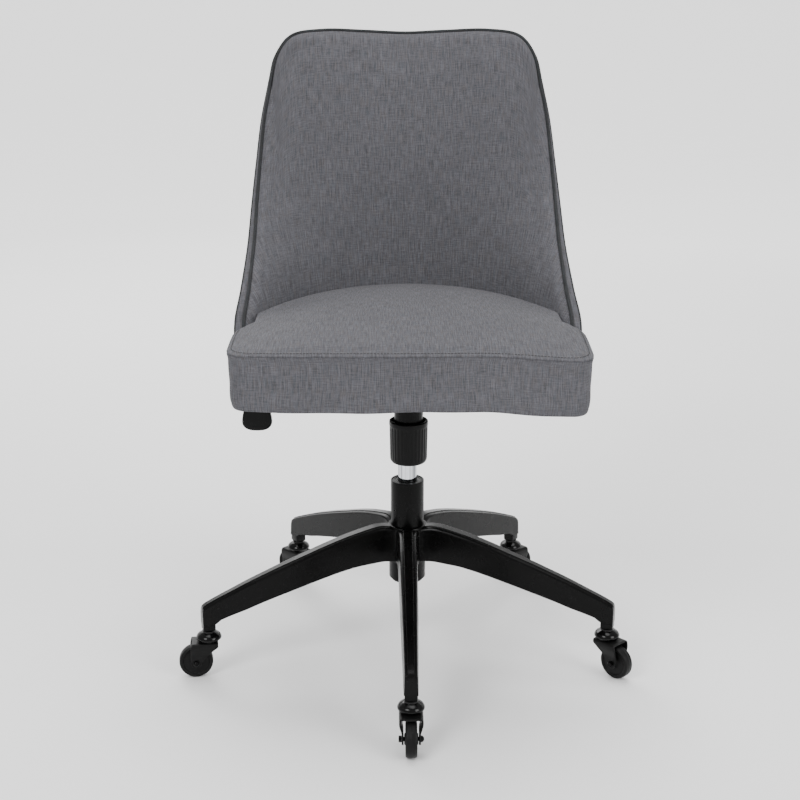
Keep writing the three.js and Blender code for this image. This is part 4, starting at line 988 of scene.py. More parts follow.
# ---------------------------------------------------------------- the back
@dataclass
class BackShape:
    """The back's outer face as a function of two numbers: across, from -1 to 1, and up, from 0 to 1."""

    seat_bottom: float = 454.0
    seat_seam: float = 531.0
    half: float = 249.0
    top: float = 912.0
    spine: tuple[float, float] = (228.0, 269.0)
    wraps: tuple[float, float] = (math.pi / 2, 0.55)
    rim: float = 24.0
    middle: float = 46.0

    def edge(self, up: Array) -> Array:
        """The right wing's edge."""
        h, s, c = self.half, self.seat_seam, self.top - 71
        b = self.seat_bottom
        knots = [(h - 3.5, -66, b), (h - 2.5, -66, b + 41), (h - 0.5, -38, s - 6),
                 (h - 5, 18, s + 29), (h - 10, 95, s + 81), (h - 13.5, 148, s + 137), (h - 19.5, 182, s + 197),
                 (h - 27, 204, s + 257), (h - 38, 220, c)]
        return through(np.array(knots, float), up)

    def top_edge(self, distance: Array) -> Array:
        """The top edge's height at a distance from the middle."""
        c, t = self.half - 38, self.top
        half = [(c, t - 71), (c - 11, t - 30), (c - 33, t - 4), (c * 0.62, t + 4), (c * 0.3, t + 2.5), (0, t)]
        knots = np.array(half + [(-c * 0.3, t + 2.5)], float)
        line = through(knots, np.linspace(0, 1, 400))[::-1]
        return np.interp(distance, line[:, 0], line[:, 1])

    def face(self, across: Array, up: Array, rise: float = 1.0) -> Array:
        """Points of the outer face. In plan each level is part of an ellipse: x = edge sin(wa) / sin w
        and y falls from the spine to the edge as 1 - cos(wa), where w is how far that level wraps.

        Args:
            across: places across, any shape.
            up: places up, the same shape.
            rise: how much of the top edge's rise over the corners is added.

        Returns:
            Points, with one more axis.
        """
        edge = self.edge(up.ravel()).reshape(*up.shape, 3)
        ex, ey, ez = edge[..., 0], edge[..., 1], edge[..., 2]
        wrap = self.wraps[0] + (self.wraps[1] - self.wraps[0]) * ease(up, 0, 1)
        x = ex * np.sin(wrap * across) / np.sin(wrap)
        corner = self.half - 38
        lift = self.top_edge(np.minimum(np.abs(x), corner)) - (self.top - 71)
        z = ez + rise * lift * ease(up, 0.35, 1) ** 2
        low, high = self.spine
        spine = low + (high - low) * (z - self.seat_bottom) / (self.top - self.seat_bottom)
        y = spine - (spine - ey) * (1 - np.cos(wrap * across)) / (1 - np.cos(wrap))
        return np.stack([x, y, z], -1)

    def inward(self, across: Array, up: Array) -> Array:
        """The direction towards the sitter: the cross product of the face's two slopes."""
        step = 0.004
        one = self.face(np.clip(across + step, -1, 1), up, 0) - self.face(np.clip(across - step, -1, 1), up, 0)
        two = self.face(across, np.clip(up + step, 0, 1), 0) - self.face(across, np.clip(up - step, 0, 1), 0)
        way = np.cross(one, two)
        return way / np.linalg.norm(way, axis=-1, keepdims=True)

    def thickness(self, across: Array, up: Array) -> Array:
        """The whole thickness: padded in the middle and slim at the rim."""
        return self.rim + (self.middle - self.rim) * (1 - across**4) * (1 - up**6)

    def within(self, across: Array, up: Array, depth: Array | float) -> Array:
        """Points at a depth under the outer face."""
        depth = np.broadcast_to(np.asarray(depth, float), across.shape)
        return self.face(across, up) + self.inward(across, up) * depth[..., None]

    def inner_plan(self, height: float, across: Array, clearance: float) -> Array:
        """The pad's inner face cut at a height, as plan points, with a clearance."""
        ups = np.linspace(0, 0.5, 400)
        up = float(np.interp(height, self.edge(ups)[:, 2], ups))
        level = np.full_like(across, up)
        depth = self.thickness(across, level) + clearance
        return self.within(across, level, depth)[:, :2]


def edge_dense(count: int, power: float) -> Array:
    """Numbers from -1 to 1, closer together towards both ends: 1 - (1 - s)^p."""
    s = np.linspace(-1, 1, count)
    return np.sign(s) * (1 - (1 - np.abs(s)) ** power)


def wrapped_sheet(front: Array, rear: Array, rows: int, bulge: float) -> Skin:
    """Two grids of points made into one closed pad: a face each, and a band round the rim that goes
    from one to the other and swells between them as a half sine. The cloth coordinates are the
    lengths along the front's rows from its middle, and up its middle column.

    Args:
        front: the face that shows, rows up and columns across.
        rear: the face behind it, the same size.
        rows: rows of the rim's band.
        bulge: how far the band swells, mm.

    Returns:
        The closed skin with cloth coordinates.
    """
    n, m = front.shape[:2]
    index = np.arange(n * m).reshape(n, m)
    loop = np.concatenate([index[0, :-1], index[:-1, -1], index[-1, :0:-1], index[:0:-1, 0]])
    one, two = front.reshape(-1, 3)[loop], rear.reshape(-1, 3)[loop]
    ahead = np.roll(one, -1, 0) - np.roll(one, 1, 0)
    out = np.cross(ahead, two - one)
    out /= np.maximum(np.linalg.norm(out, axis=1, keepdims=True), 1e-9)
    centre = front.reshape(-1, 3).mean(0)
    if np.einsum("ij,ij->i", out, one - centre).sum() < 0:
        out = -out
    shares = np.linspace(0, 1, rows + 2)[1:-1]
    band = [one + (two - one) * s + out * bulge * math.sin(math.pi * s) for s in shares]
    points = np.vstack([front.reshape(-1, 3), rear.reshape(-1, 3), *band])
    count, start = len(loop), 2 * n * m
    rings = [loop] + [start + k * count + np.arange(count) for k in range(rows)] + [n * m + loop]
    strips = [np.stack([a, np.roll(a, -1), np.roll(b, -1), b], 1) for a, b in zip(rings[:-1], rings[1:])]
    face = grid_quads(n, m, False)
    quads = np.vstack([face, face[:, ::-1] + n * m, *[strip[:, ::-1] for strip in strips]])
    run = np.cumsum(np.linalg.norm(np.diff(front, axis=1, prepend=front[:, :1]), axis=2), axis=1)
    run -= run[:, m // 2][:, None]
    climb = np.cumsum(np.linalg.norm(np.diff(front[:, m // 2], axis=0, prepend=front[:1, m // 2]), axis=1))
    flat = np.stack([run, np.repeat(climb[:, None], m, 1)], -1).reshape(-1, 2)
    depth = np.linalg.norm(two - one, axis=1)
    around = np.concatenate([[0], np.cumsum(np.linalg.norm(np.diff(one, axis=0), axis=1))])
    far = np.roll(around, -1)
    far[-1] = around[-1] + 1.0
    edges = []
    for low, high in zip([0.0, *shares], [*shares, 1.0]):
        corners = ((high, around), (high, far), (low, far), (low, around))
        edges.append(np.stack([np.stack([share * depth, place], 1) for share, place in corners], 1))
    cloth = np.vstack([flat[face], flat[face[:, ::-1]], *edges]) * MM
    return Skin(points, quads, cloth=cloth.reshape(-1, 2)).outward()


def simulated(name: str, rest: Array, closed: Skin, cap: float) -> Array:
    """How cloth over a pad settles: a coarse closed copy is remeshed, blown up a little as cloth for
    20 frames, and its movement, capped, is read back at a grid of points.

    Args:
        name: the piece's name.
        rest: the grid of points at which the movement is wanted.
        closed: the closed skin to simulate.
        cap: the furthest that a point may move, mm.
    """
    mesh = bpy.data.meshes.new(f"{name}_proxy")
    mesh.from_pydata((closed.points * MM).tolist(), [], closed.quads.tolist() + closed.tris.tolist())
    proxy = bpy.data.objects.new(f"{name}_proxy", mesh)
    scene = bpy.context.scene
    scene.collection.objects.link(proxy)
    remesh = proxy.modifiers.new("remesh", "REMESH")
    remesh.mode, remesh.voxel_size = "VOXEL", PROXY_VOXEL
    view = bpy.context.view_layer
    view.update()
    solid = bpy.data.meshes.new_from_object(proxy.evaluated_get(bpy.context.evaluated_depsgraph_get()))
    proxy.modifiers.clear()
    proxy.data = solid
    before = np.empty(len(solid.vertices) * 3)
    solid.vertices.foreach_get("co", before)
    cloth = proxy.modifiers.new("cloth", "CLOTH")
    cloth.settings.use_pressure = True
    cloth.settings.uniform_pressure_force = PAD_PRESSURE
    cloth.settings.quality = 5
    cloth.settings.mass = 0.25
    cloth.settings.tension_stiffness = cloth.settings.compression_stiffness = 22
    cloth.settings.bending_stiffness = 0.6
    cloth.settings.effector_weights.gravity = 0.0
    cloth.point_cache.frame_start, cloth.point_cache.frame_end = 1, CLOTH_FRAMES
    for frame_number in range(1, CLOTH_FRAMES + 1):
        scene.frame_set(frame_number)
    settled = proxy.evaluated_get(bpy.context.evaluated_depsgraph_get()).to_mesh()
    after = np.empty(len(settled.vertices) * 3)
    settled.vertices.foreach_get("co", after)
    before, after = before.reshape(-1, 3) / MM, after.reshape(-1, 3) / MM
    scene.frame_set(1)
    bpy.data.objects.remove(proxy, do_unlink=True)
    shift = after - before
    shift -= np.median(shift, axis=0)
    size = np.linalg.norm(shift, axis=1, keepdims=True)
    shift *= np.minimum(1.0, cap / np.maximum(size, 1e-9))
    tree = kdtree.KDTree(len(before))
    for i, spot in enumerate(before):
        tree.insert(spot, i)
    tree.balance()
    flat = rest.reshape(-1, 3)
    near = np.array([[hit[1] for hit in tree.find_n(spot, 6)] for spot in flat])
    log.info("%s settled: most %.1f mm", name, float(size.max()))
    return shift[near].mean(1).reshape(rest.shape)


def spread(coarse: Array, rows: Array, cols: Array, to_rows: Array, to_cols: Array) -> Array:
    """Values on a coarse grid read between its lines at a finer grid's rows and columns."""

    def read(line: Array, at: Array, known: Array) -> Array:
        return np.stack([np.interp(at, known, line[:, k]) for k in range(3)], -1)

    half = np.stack([read(line, to_cols, cols) for line in coarse])
    return np.stack([read(half[:, j], to_rows, rows) for j in range(half.shape[1])], 1)


@dataclass
class Back:
    """The upholstered back: the inside pad, the outside cover that wraps the shell's rim, a welt along
    the rim's inner corner and a slim cord along its outer corner."""

    shape: BackShape = field(default_factory=BackShape)
    roll: float = 15.0
    welt_radius: float = 2.7
    welt_depth: float = 15.2
    band: float = 12.3
    cord_radius: float = 1.3

    def rim_line(self, depth: float, outward: float, count: int = 260) -> Array:
        """A line round the rim, up one wing, over the top and down the other, moved outwards along
        the cross product of its own direction and the way in.

        Args:
            depth: its depth under the outer face, mm.
            outward: how far it stands off the rim, mm.
            count: its points.

        Returns:
            The line's points.
        """
        climb = np.linspace(0, 1, 200)
        over = edge_dense(200, 1.5)[::-1]
        across = np.concatenate([np.ones(199), over, -np.ones(199)])
        up = np.concatenate([climb[:-1], np.ones(200), climb[:-1][::-1]])
        line = self.shape.within(across, up, depth)
        way = np.gradient(line, axis=0)
        out = np.cross(way, self.shape.inward(across, up))
        out /= np.maximum(np.linalg.norm(out, axis=1, keepdims=True), 1e-9)
        window = np.ones(15) / 15
        out = np.stack([np.convolve(np.pad(out[:, k], 7, mode="edge"), window, "valid") for k in range(3)], 1)
        out /= np.linalg.norm(out, axis=1, keepdims=True)
        return resampled(line + out * outward, np.linspace(0, 1, count))

    def rim_distance(self, across: Array, up: Array) -> Array:
        """About how far each point is from the rim, mm, with the two sides' distances blended."""
        side = (1 - np.abs(across)) * (330 - 110 * up)
        top = (1 - up) * 470
        return -6.0 * np.log(np.exp(-side / 6.0) + np.exp(-top / 6.0) + 1e-12)

    def pad(self) -> Skin:
        """The inside pad. Its face lies at the padded thickness, rolls down to the welt round the
        rim as a quarter ellipse, swells a little and settles as the cloth does.

        Returns:
            The pad's closed skin.
        """
        across, up = edge_dense(150, 1.5), 1 - (1 - np.linspace(0, 1, 130)) ** 1.4
        a, u = np.meshgrid(across, up)
        seam = self.welt_depth - 1.0
        full = self.shape.thickness(a, u)
        near = np.clip(self.rim_distance(a, u) / self.roll, 0, 1)
        depth = seam + (full - seam) * np.sqrt(1 - (1 - near) ** 2)
        front = self.shape.within(a, u, depth)
        slim = ease(self.rim_distance(a, u), 1.0, 16.0)
        clear = self.band + 0.3
        rear = self.shape.within(a * 0.996, u * 0.997 + 0.001, clear + (17.7 - clear) * slim)
        ca, cu = np.linspace(-1, 1, 40), np.linspace(0, 1, 36)
        ga, gu = np.meshgrid(ca, cu)
        coarse_front = self.shape.within(ga, gu, self.shape.thickness(ga, gu) - 3)
        coarse_rear = self.shape.within(ga, gu, 14.0)
        proxy = wrapped_sheet(coarse_front, coarse_rear, 1, 0)
        drift = simulated("back_pad", coarse_front, proxy, 6.0)
        push = np.einsum("ijk,ijk->ij", drift, self.shape.inward(ga, gu))
        push -= np.median(push)
        smooth = spread(np.repeat(push[..., None], 3, 2), cu, ca, up, across)[..., 0]
        hold = ease(self.rim_distance(a, u), 2, 40) * ease(self.shape.face(a, u)[..., 2], 545, 590)
        wave = 0.5 * np.sin(a * 9 + 1.3) * np.sin(u * 7 + 0.4) + 0.35 * np.sin(a * 17 + u * 5)
        front = front + self.shape.inward(a, u) * (np.clip(smooth, -3, 3) + wave)[..., None] * hold[..., None]
        return wrapped_sheet(front, rear, 3, 0.4)

    def cover(self) -> Skin:
        """The outside cover: the outer face, slightly eased at its edge, wrapped over the rim."""
        across, up = edge_dense(130, 1.5), 1 - (1 - np.linspace(0, 1, 110)) ** 1.4
        a, u = np.meshgrid(across, up)
        near = np.clip(self.rim_distance(a, u) / 5.0, 0, 1)
        front = self.shape.within(a, u, 1.6 * (1 - np.sqrt(1 - (1 - near) ** 2)))
        rim = 1 - ease(self.rim_distance(a, u), 0.2, 6.0)
        low = 1 - ease(u, 0.0, 0.02)
        rear = self.shape.within(a, u, 5.9 + (self.band - 5.9) * np.maximum(rim, low))
        return wrapped_sheet(front, rear, 8, 1.1)

    def ply(self) -> Skin:
        """The bent ply shell between the cover and the pad, thinned towards its edge."""
        a, u = np.meshgrid(np.linspace(-0.975, 0.975, 70), np.linspace(0.022, 0.985, 60))
        slim = ease(self.rim_distance(a, u), 4.0, 18.0)
        outer = self.shape.within(a, u, 6.3)
        inner = self.shape.within(a, u, self.band - 0.4 + (17.3 - self.band + 0.4) * slim)
        return wrapped_sheet(outer, inner, 2, 0.3)

    def build(self, finishes: Finishes) -> None:
        """Makes the back's upholstery.

        Args:
            finishes: the chair's finishes.
        """
        linen = finishes.upholstery
        pad = piece("back_inside_pad", self.pad(), linen, Body.SEAT, ["back_pad"], 60)
        cover = piece("back_outside_cover", self.cover(), linen, Body.SEAT, ["back_cover"], 60)
        piece("back_ply_shell", self.ply(), finishes.plywood, Body.SEAT, ["back_shell"], 50)
        welt = cord_skin(self.rim_line(self.welt_depth, 1.1, 420), self.welt_radius, 14, True)
        piece("back_rim_welt", welt, finishes.welt, Body.SEAT, ["back_welt"], 80)
        cord = cord_skin(self.rim_line(1.9, 0.1, 420), self.cord_radius, 10, True)
        piece("back_outer_cord", cord, finishes.welt, Body.SEAT, (), 80)


# ---------------------------------------------------------------- the seat
@dataclass
class Seat:
    """The box seat: a crowned top panel over a boxing strip, seamed together, with a seam down each
    front corner and a line of stitches over the top seam."""

    shape: BackShape = field(default_factory=BackShape)
    bottom: float = 454.0
    seam: float = 530.0
    front: float = 262.0
    bow: float = 8.0
    half: float = 240.0
    corner: float = 31.0
    corner_seam: float = 13.0
    shoulder: float = 79.0
    roll: float = 2.6
    crown: float = 18.6
    start: float = 2.0
    middle_y: float = -40.0

    def right_outline(self, height: float) -> Array:
        """The right half of the outline at a height, from the middle of the front to the middle of
        the rear: a bowed front, a round corner, a side, a step in for the wing, and the curve that
        fits inside the back.

        Args:
            height: the level, mm.

        Returns:
            Plan points, always as many.
        """
        centre_x, centre_y = self.half - self.corner, -self.front + self.bow + self.corner
        x = np.linspace(0, centre_x, 60)[:-1]
        front = np.stack([x, -self.front + self.bow * (x / centre_x) ** 2.2], 1)
        s = np.linspace(-1, 1, 41)
        sweep = np.where(s < 0, 90 - self.corner_seam, self.corner_seam)
        angle = np.radians(-self.corner_seam + sweep * np.sign(s) * np.abs(s) ** 1.6)
        corner = np.stack([centre_x + self.corner * np.cos(angle), centre_y + self.corner * np.sin(angle)], 1)
        y = np.linspace(centre_y, -self.shoulder - 66, 30)[1:]
        run = (y - centre_y) / (-self.shoulder - centre_y)
        side = np.stack([self.half - 2.0 * run**2 + 0.8 * np.sin(np.pi * run), y], 1)
        across = np.linspace(0.955, 0, 80)
        rear = self.shape.inner_plan(height, across, 1.0)
        slant = float(ease(np.array(height), self.bottom + 22, self.bottom + 54))
        back_reach = 10.0 * (1 - slant)  # low down, the cover goes round the board's square corner
        step_x, last = float(side[-1, 0]), -self.shoulder + back_reach
        ear = filleted([(step_x, -self.shoulder - 65),
                        (step_x - 2.5 * slant, last - 42 * slant - 1, 4 + 34 * slant),
                        (rear[0, 0] + 7 * slant, last + 1 - 7 * slant, 4 + 10 * slant),
                        (rear[0, 0], -self.shoulder + 10 + 0.3 * back_reach)], 8)
        step = resampled(ear, np.linspace(0, 1, 34))
        return np.vstack([front, corner, side, step, rear])

    def outline(self, height: float, inset: float) -> Array:
        """The whole outline at a height, moved inwards along its own smoothed normal."""
        right = self.right_outline(height)
        line = np.vstack([right, (right * [-1, 1])[-2:0:-1]])
        way = np.roll(line, -1, 0) - np.roll(line, 1, 0)
        normal = np.stack([way[:, 1], -way[:, 0]], 1)
        for _ in range(3):
            normal = (np.roll(normal, 1, 0) + 2 * normal + np.roll(normal, -1, 0)) / 4
        normal /= np.linalg.norm(normal, axis=1, keepdims=True)
        return line - normal * inset

    def corner_marks(self, line: Array) -> tuple[Array, float]:
        """Distances along the outline, and from its front middle to the corner seam."""
        run = np.concatenate([[0], np.cumsum(np.linalg.norm(np.diff(line, axis=0), axis=1))])
        return run, float(run[59 + 20])

    def top_rise(self, share: float) -> float:
        """The top's height over the seam: a small roll, sqrt(1 - s^14), and a broad crown, 1 - s^2.1."""
        return self.start + self.roll * math.sqrt(1 - share**14) + self.crown * (1 - share**2.1)

    def rings(self) -> tuple[Array, list[str]]:
        """The cover's rings of points, from the middle of its underside to the middle of its top,
        with the name of the panel that each ring starts.

        Returns:
            The rings, and the panel names.
        """
        b, s = self.bottom, self.seam
        tall = s - b
        levels: list[tuple[float, float, str]] = [
            (b + 0.9, 60, "under"), (b + 0.5, 16, "under"), (b + 0.1, 12.5, "under"), (b, 9.5, "boxing"),
        ]
        for t in np.linspace(0.2, 1.57, 9):
            levels.append((b + 7 * (1 - math.cos(t)), 5.0 + 4.5 * (1 - math.sin(t)), "boxing"))
        for t in np.linspace(0.12, 0.95, 24):
            levels.append((b + tall * t, 5.2 * (1 - t) ** 1.3 - 1.4 * math.sin(math.pi * t) + 0.3, "boxing"))
        for d, dip in ((2.6, 0.25), (1.7, 0.45), (1.0, 0.8), (0.5, 1.3)):
            levels.append((s - d, 0.2 + dip, "boxing"))
        levels.append((s, 2.0, "top"))
        for d, dip in ((0.5, 1.3), (1.0, 0.85), (1.7, 0.6), (self.start, 0.5)):
            levels.append((s + d, dip + 0.1, "top"))
        plans = [(self.outline(z, inset), z) for z, inset, _ in levels]
        out = [np.column_stack([plan, np.full(len(plan), z)]) for plan, z in plans]
        names = [name for _, _, name in levels]
        edge = self.outline(s, 0.6)
        soft = edge
        for _ in range(90):
            soft = (np.roll(soft, 1, 0) + 2 * soft + np.roll(soft, -1, 0)) / 4
        middle = np.array([0.0, self.middle_y])
        for share in 1 - np.linspace(0, 1, 52)[1:-1] ** 1.75 * 0.985:
            ease_in = float(ease(np.array(1 - share), 0.0, 0.10))
            line = edge + (soft - edge) * ease_in
            plan = middle + (line - middle) * share
            fall = 3.4 * ease(np.abs(plan[:, 0]), 120, 225) * ease(np.array(1 - share), 0.0, 0.12)
            out.append(np.column_stack([plan, s + self.top_rise(float(share)) - fall]))
            names.append("top")
        return np.stack(out), names

    def sagged(self, rings: Array) -> Array:
        """The seam dips a little at the front corners, the lower edge is not quite straight, and the
        front of the boxing ripples: small smooth movements added to the rings."""
        x, y, z = rings[..., 0], rings[..., 1], rings[..., 2]
        out = rings.copy()
        ahead = np.exp(-(((y + 262) / 90) ** 2))
        out[..., 2] -= ahead * (1.2 * ease(np.abs(x), 70, 235) + 8.6 * ease(x, 90, 240))
        low = 1 - ease(z, self.bottom, self.bottom + 25)
        ripple = 0.9 * np.sin(x / 41 + 0.7) * np.sin(y / 57) + 0.5 * np.sin(x / 17 + y / 23)
        out[..., 2] += low * ripple * (y < -60)
        swell = np.sin(np.pi * np.clip((z - self.bottom) / (self.seam - self.bottom), 0, 1))
        front = ease(-y, 225, 250) * swell
        out[..., 1] -= front * (0.8 * np.sin(x / 63 + 1.1) + 0.45 * np.sin(x / 21 + z / 13))
        return out

    def skin(self) -> Skin:
        """The cover's closed skin, with corner seams pressed in and the cloth settled.

        Returns:
            The skin with cloth coordinates for each panel.
        """
        rings, names = self.rings()
        rows, cols = rings.shape[:2]
        line = self.outline(self.seam, 0)
        run, mark = self.corner_marks(line)
        total = run[-1] + float(np.linalg.norm(line[0] - line[-1]))
        near = np.minimum(np.abs(run - mark), np.abs(run - (total - mark)))
        way = np.roll(line, -1, 0) - np.roll(line, 1, 0)
        normal = np.stack([way[:, 1], -way[:, 0]], 1)
        normal /= np.linalg.norm(normal, axis=1, keepdims=True)
        boxing = np.array([name == "boxing" for name in names])
        dip = 1.3 * np.exp(-((near / 0.8) ** 2)) + 0.3 * np.exp(-((near / 4.0) ** 2))
        fade = np.where(boxing, 1.0, 0.0)[:, None]
        rings[..., :2] -= (fade * dip)[..., None] * normal
        pick_r = np.unique(np.linspace(3, rows - 1, 34).astype(int))
        pick_c = np.unique(np.linspace(0, cols - 1, 120).astype(int))
        coarse = rings[pick_r][:, pick_c]
        drift = simulated("seat_cover", coarse, tube_skin(coarse * [0.985, 0.985, 1.0]), 7.0)
        every_r, every_c = np.arange(rows, dtype=float), np.arange(cols, dtype=float)
        sink = spread(drift, pick_r.astype(float), pick_c.astype(float), every_r, every_c)
        for _ in range(4):
            sink = (np.roll(sink, 1, 1) + 2 * sink + np.roll(sink, -1, 1)) / 4
        by_seam = np.exp(-(((rings[..., 2] - self.seam) / 5) ** 2))
        hold = ease(rings[..., 2], self.bottom + 12, self.bottom + 40) * (1 - 0.9 * by_seam)
        rear = ease(-rings[..., 1], -10, 60)
        rings = rings + np.clip(sink, -2.2, 2.2) * (hold * rear)[..., None]
        rings = self.sagged(rings)
        return tube_skin(rings, self.cloth(rings, names, run, mark, total))

    def cloth(self, rings: Array, names: Sequence[str], run: Array, mark: float, total: float) -> Array:
        """Cloth coordinates for each face's corners: the top panel lies flat from above, and the
        boxing runs along the outline and up it, starting anew at each corner seam.

        Args:
            rings: the cover's points.
            names: the panel that each ring starts.
            run: distances along the outline.
            mark: where the right corner seam is.
            total: the outline's whole length.

        Returns:
            The coordinates, metres.
        """
        rows, cols = rings.shape[:2]
        i, j = np.meshgrid(np.arange(rows - 1), np.arange(cols), indexing="ij")
        k = (j + 1) % cols
        far = np.where(k == 0, total, run[k])
        corner = np.stack([rings[i, j], rings[i, k], rings[i + 1, k], rings[i + 1, j]], 2)
        flat = corner[..., :2]
        climb = np.cumsum(np.linalg.norm(np.diff(rings, axis=0, prepend=rings[:1]), axis=2).mean(1))
        along = np.stack([run[j], far, far, run[j]], -1)
        height = np.stack([climb[i], climb[i], climb[i + 1], climb[i + 1]], -1)
        strip = np.stack([along, height], -1)
        middle = (run[j] + far) / 2
        side = (middle > mark) & (middle < total - mark)
        strip[..., 0] += np.where(side, 3.37, 0.0)[..., None]
        top = np.array([name == "top" for name in names])[i]
        return np.where(top[..., None, None], flat, strip).reshape(-1, 2) * MM

    def stitches(self) -> Skin:
        """A row of stitches over the top seam: each is a short bar with rounded ends laid along the
        ring just above the seam, every 4.3 mm round the front and both sides.

        Returns:
            All the stitches as one skin.
        """
        share = 0.975
        middle = np.array([0.0, self.middle_y])
        reach = middle + (self.outline(self.seam, 0.6) - middle) * share
        line = np.column_stack([reach, np.full(len(reach), self.seam + self.top_rise(share) + 0.1)])
        line = self.sagged(line[None])[0]
        count = 59 + 41 + 39
        right, left = line[:count], line[-count + 1 :]
        path = np.vstack([left, right])
        run = np.concatenate([[0], np.cumsum(np.linalg.norm(np.diff(path, axis=0), axis=1))])
        starts = np.arange(4.0, run[-1] - 8, 4.3)
        at = lambda d: np.stack([np.interp(d, run, path[:, k]) for k in range(3)], -1)
        tips, tails = at(starts), at(starts + 3.0)
        way = tails - tips
        way /= np.linalg.norm(way, axis=1, keepdims=True)
        out = np.cross(way, [0, 0, 1.0]) * 0.55 + np.array([0, 0, 0.84])
        angle = np.linspace(0, 2 * np.pi, 6, endpoint=False)
        shares, girths = np.array([0.0, 0.12, 0.5, 0.88, 1.0]), np.array([0.1, 0.85, 1.0, 0.85, 0.1])
        lift = np.array([-0.35, 0.05, 0.2, 0.05, -0.35])
        middle = tips[:, None] + (tails - tips)[:, None] * shares[None, :, None]
        middle = middle + out[:, None] * lift[None, :, None]
        other = np.cross(way, out)[:, None]
        ring = out[:, None] * np.cos(angle)[None, :, None] + other * np.sin(angle)[None, :, None]
        points = middle[:, :, None] + ring[:, None] * (0.42 * girths)[None, :, None, None]
        size = 5 * 6
        one = grid_quads(5, 6, True)
        quads = (one[None] + (np.arange(len(starts)) * size)[:, None, None]).reshape(-1, 4)
        ends = np.array([[0, 2, 1], [0, 3, 2], [0, 4, 3], [0, 5, 4]])
        both = np.vstack([ends, ends[:, ::-1] + 24])
        tris = (both[None] + (np.arange(len(starts)) * size)[:, None, None]).reshape(-1, 3)
        return Skin(points.reshape(-1, 3), quads, tris).outward()

    def dust_cloth(self) -> Skin:
        """The thin cloth under the board, sagging a little between its staples: rings from the
        middle of its lower face to its edge and back over its upper face.

        Returns:
            The closed skin.
        """
        edge = self.outline(self.bottom, 13.0)
        middle = np.array([0.0, self.middle_y])
        shares = np.array([0.02, 0.2, 0.4, 0.6, 0.75, 0.87, 0.94, 0.98, 1.0])
        ripple = 0.35 * np.sin(np.arange(len(edge)) * 0.42)
        rings = []
        for share, face in [(s, 0) for s in shares] + [(s, 1) for s in shares[::-1]]:
            sag = -0.9 * (1 - share**4) + ripple * share**8 * (1 - share) * 9
            reach = middle + (edge - middle) * (share + 0.001 * face)
            rings.append(np.column_stack([reach, self.bottom + 0.75 + sag + 0.25 * face]))
        return tube_skin(np.stack(rings))

    def staples(self) -> Skin:
        """Staples that hold the dust cloth: a low bar across its edge every 27 mm."""
        edge = self.outline(self.bottom, 17.0)
        spots = resampled(np.vstack([edge, edge[:1]]), np.linspace(0, 1, 70, endpoint=False))
        way = np.roll(spots, -1, 0) - np.roll(spots, 1, 0)
        angles = np.degrees(np.arctan2(way[:, 1], way[:, 0]))
        bar = block_skin((-5.5, -0.5, -0.35), (5.5, 0.5, 0.25), 0.2)
        return merged([bar.moved(a, (x, y, self.bottom - 0.1)) for (x, y), a in zip(spots, angles)])

    def build(self, finishes: Finishes) -> None:
        """Makes the seat's upholstery.

        Args:
            finishes: the chair's finishes.
        """
        linen = finishes.upholstery
        cover = piece("seat_upholstery", self.skin(), linen, Body.SEAT, ["seat_cushion"], 70)
        piece("seat_top_stitching", self.stitches(), finishes.thread, Body.SEAT, (), 80)
        spun = finishes.nonwoven
        cloth = piece("under_seat_cloth", self.dust_cloth(), spun, Body.SEAT, ["dust_cover"])
        edge = self.outline(self.bottom, 13.0)
        piece("dust_cloth_staples", self.staples(), finishes.zinc, Body.SEAT)


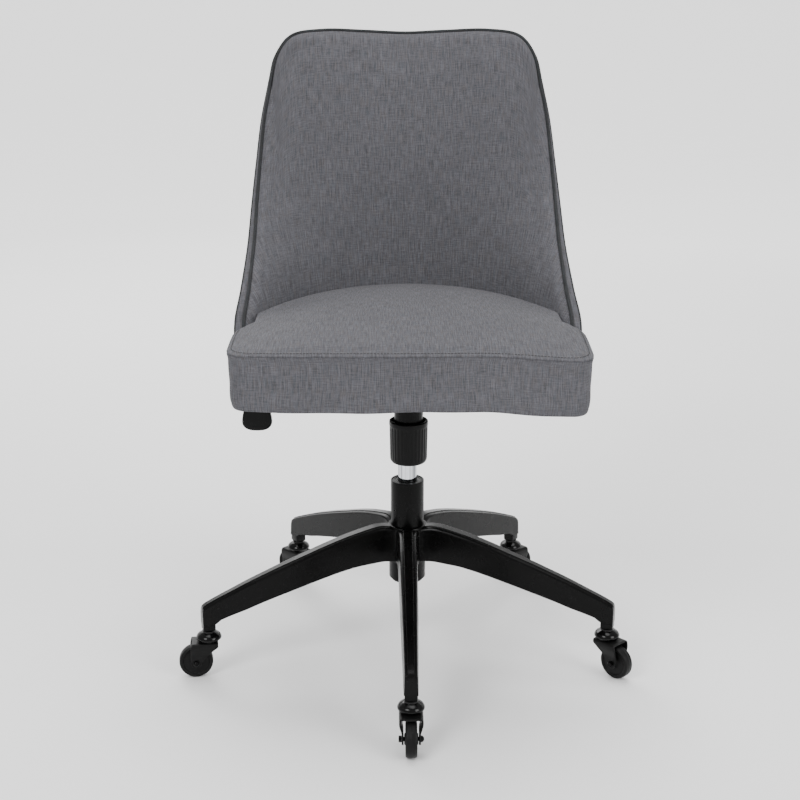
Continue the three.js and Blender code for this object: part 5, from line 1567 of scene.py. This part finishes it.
# ---------------------------------------------------------------- the studio
class Studio:
    """The pale floor, the soft lights and the camera."""

    def floor(self) -> None:
        """A pale floor that curves up into a wall far behind: flat to the bend, a quarter circle of
        the bend's radius, then straight up. It glows a little more with distance."""
        bend, radius = 4.5, 2.5
        turn = np.linspace(0, np.pi / 2, 24)
        y = np.concatenate([[-9.0, 0.0], bend + radius * np.sin(turn), [bend + radius]])
        z = np.concatenate([[0.0, 0.0], radius * (1 - np.cos(turn)), [7.0]]) - 0.0005
        left, right = (np.stack([np.full_like(y, x), y, z], 1) for x in (-14.0, 14.0))
        points = np.stack([left, right], 1).reshape(-1, 3)
        mesh = bpy.data.meshes.new("floor")
        mesh.from_pydata(points.tolist(), [], grid_quads(len(y), 2, False)[:, [0, 1, 2, 3]].tolist())
        mesh.polygons.foreach_set("use_smooth", np.ones(len(mesh.polygons), bool))
        recipe = Recipe("floor_pale")
        place = recipe.place(False, (1, 1, 1))
        mottle = recipe.noise(place, 3.0, 2.0)
        far = recipe.put("ShaderNodeSeparateXYZ", Vector=place).outputs["Y"]
        recipe.set(Base_Color=recipe.blend(mottle, grey(0.89), grey(0.92)), Roughness=0.75)
        recipe.set(Emission_Color=grey(1.0), Emission_Strength=recipe.range(far, 0.4, 3.5, 0.0, 0.9))
        mesh.materials.append(recipe.material)
        floor = bpy.data.objects.new("floor", mesh)
        bpy.context.scene.collection.objects.link(floor)

    def light(self, name: str, spot: Sequence[float], aim: Sequence[float], size: float, power: float) -> None:
        """A square soft light at a spot, turned towards its aim."""
        lamp = bpy.data.lights.new(name, "AREA")
        lamp.shape, lamp.size, lamp.energy = "SQUARE", size, power
        obj = bpy.data.objects.new(name, lamp)
        way = np.array(aim, float) - np.array(spot, float)
        flat = math.hypot(way[0], way[1])
        obj.location = spot
        obj.rotation_euler = (math.atan2(flat, -way[2]), 0.0, math.atan2(-way[0], way[1]))
        bpy.context.scene.collection.objects.link(obj)

    def build(self) -> None:
        """Sets the stage."""
        self.floor()
        world = bpy.data.worlds.new("studio")
        world.use_nodes = True
        world.node_tree.nodes["Background"].inputs["Color"].default_value = (1, 1, 1, 1)
        world.node_tree.nodes["Background"].inputs["Strength"].default_value = 0.62
        bpy.context.scene.world = world
        self.light("key", (-1.7, -2.3, 2.6), (0, 0, 0.6), 1.5, 82)
        self.light("fill", (2.3, -1.9, 1.6), (0, 0, 0.5), 1.5, 52)
        self.light("top", (0.2, 0.4, 3.0), (0, 0, 0.4), 2.0, 62)
        self.light("rear", (-1.2, 2.6, 2.2), (0, 0, 0.6), 1.5, 40)
        camera = bpy.data.cameras.new("camera")
        camera.lens, camera.sensor_width = 62.93, 36.0
        obj = bpy.data.objects.new("camera", camera)
        obj.location = (-0.0346, -1.9837 + COLUMN_Y * MM, 0.9842)
        obj.rotation_euler = (math.pi / 2 - 0.287777, 0.0, -0.0118685)
        bpy.context.scene.collection.objects.link(obj)
        bpy.context.scene.camera = obj


def dress_nodes(frame: dict, finishes: Finishes) -> None:
    """Gives each CAD node that stays the finish of its slot.

    Args:
        frame: the loaded frame.
        finishes: the chair's finishes.
    """
    chosen = finishes.by_slot()
    for entry in frame["record"]["subparts"]:
        obj = frame["nodes"][entry["node"]]
        for place in obj.material_slots:
            place.material = chosen[entry["material_slot"]]
        if not obj.material_slots:
            obj.data.materials.append(chosen[entry["material_slot"]])


def main() -> None:
    """Builds the chair on its frame, then the studio."""
    logging.basicConfig(level=logging.INFO, format="%(name)s: %(message)s")
    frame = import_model()
    finishes = Finishes()
    dress_nodes(frame, finishes)
    shape = BackShape()
    for part in (StarBase(), Castors(), GasLift(), Mechanism(), Back(shape), Seat(shape)):
        part.build(finishes)
    Studio().build()


if __name__ == "__main__":
    main()
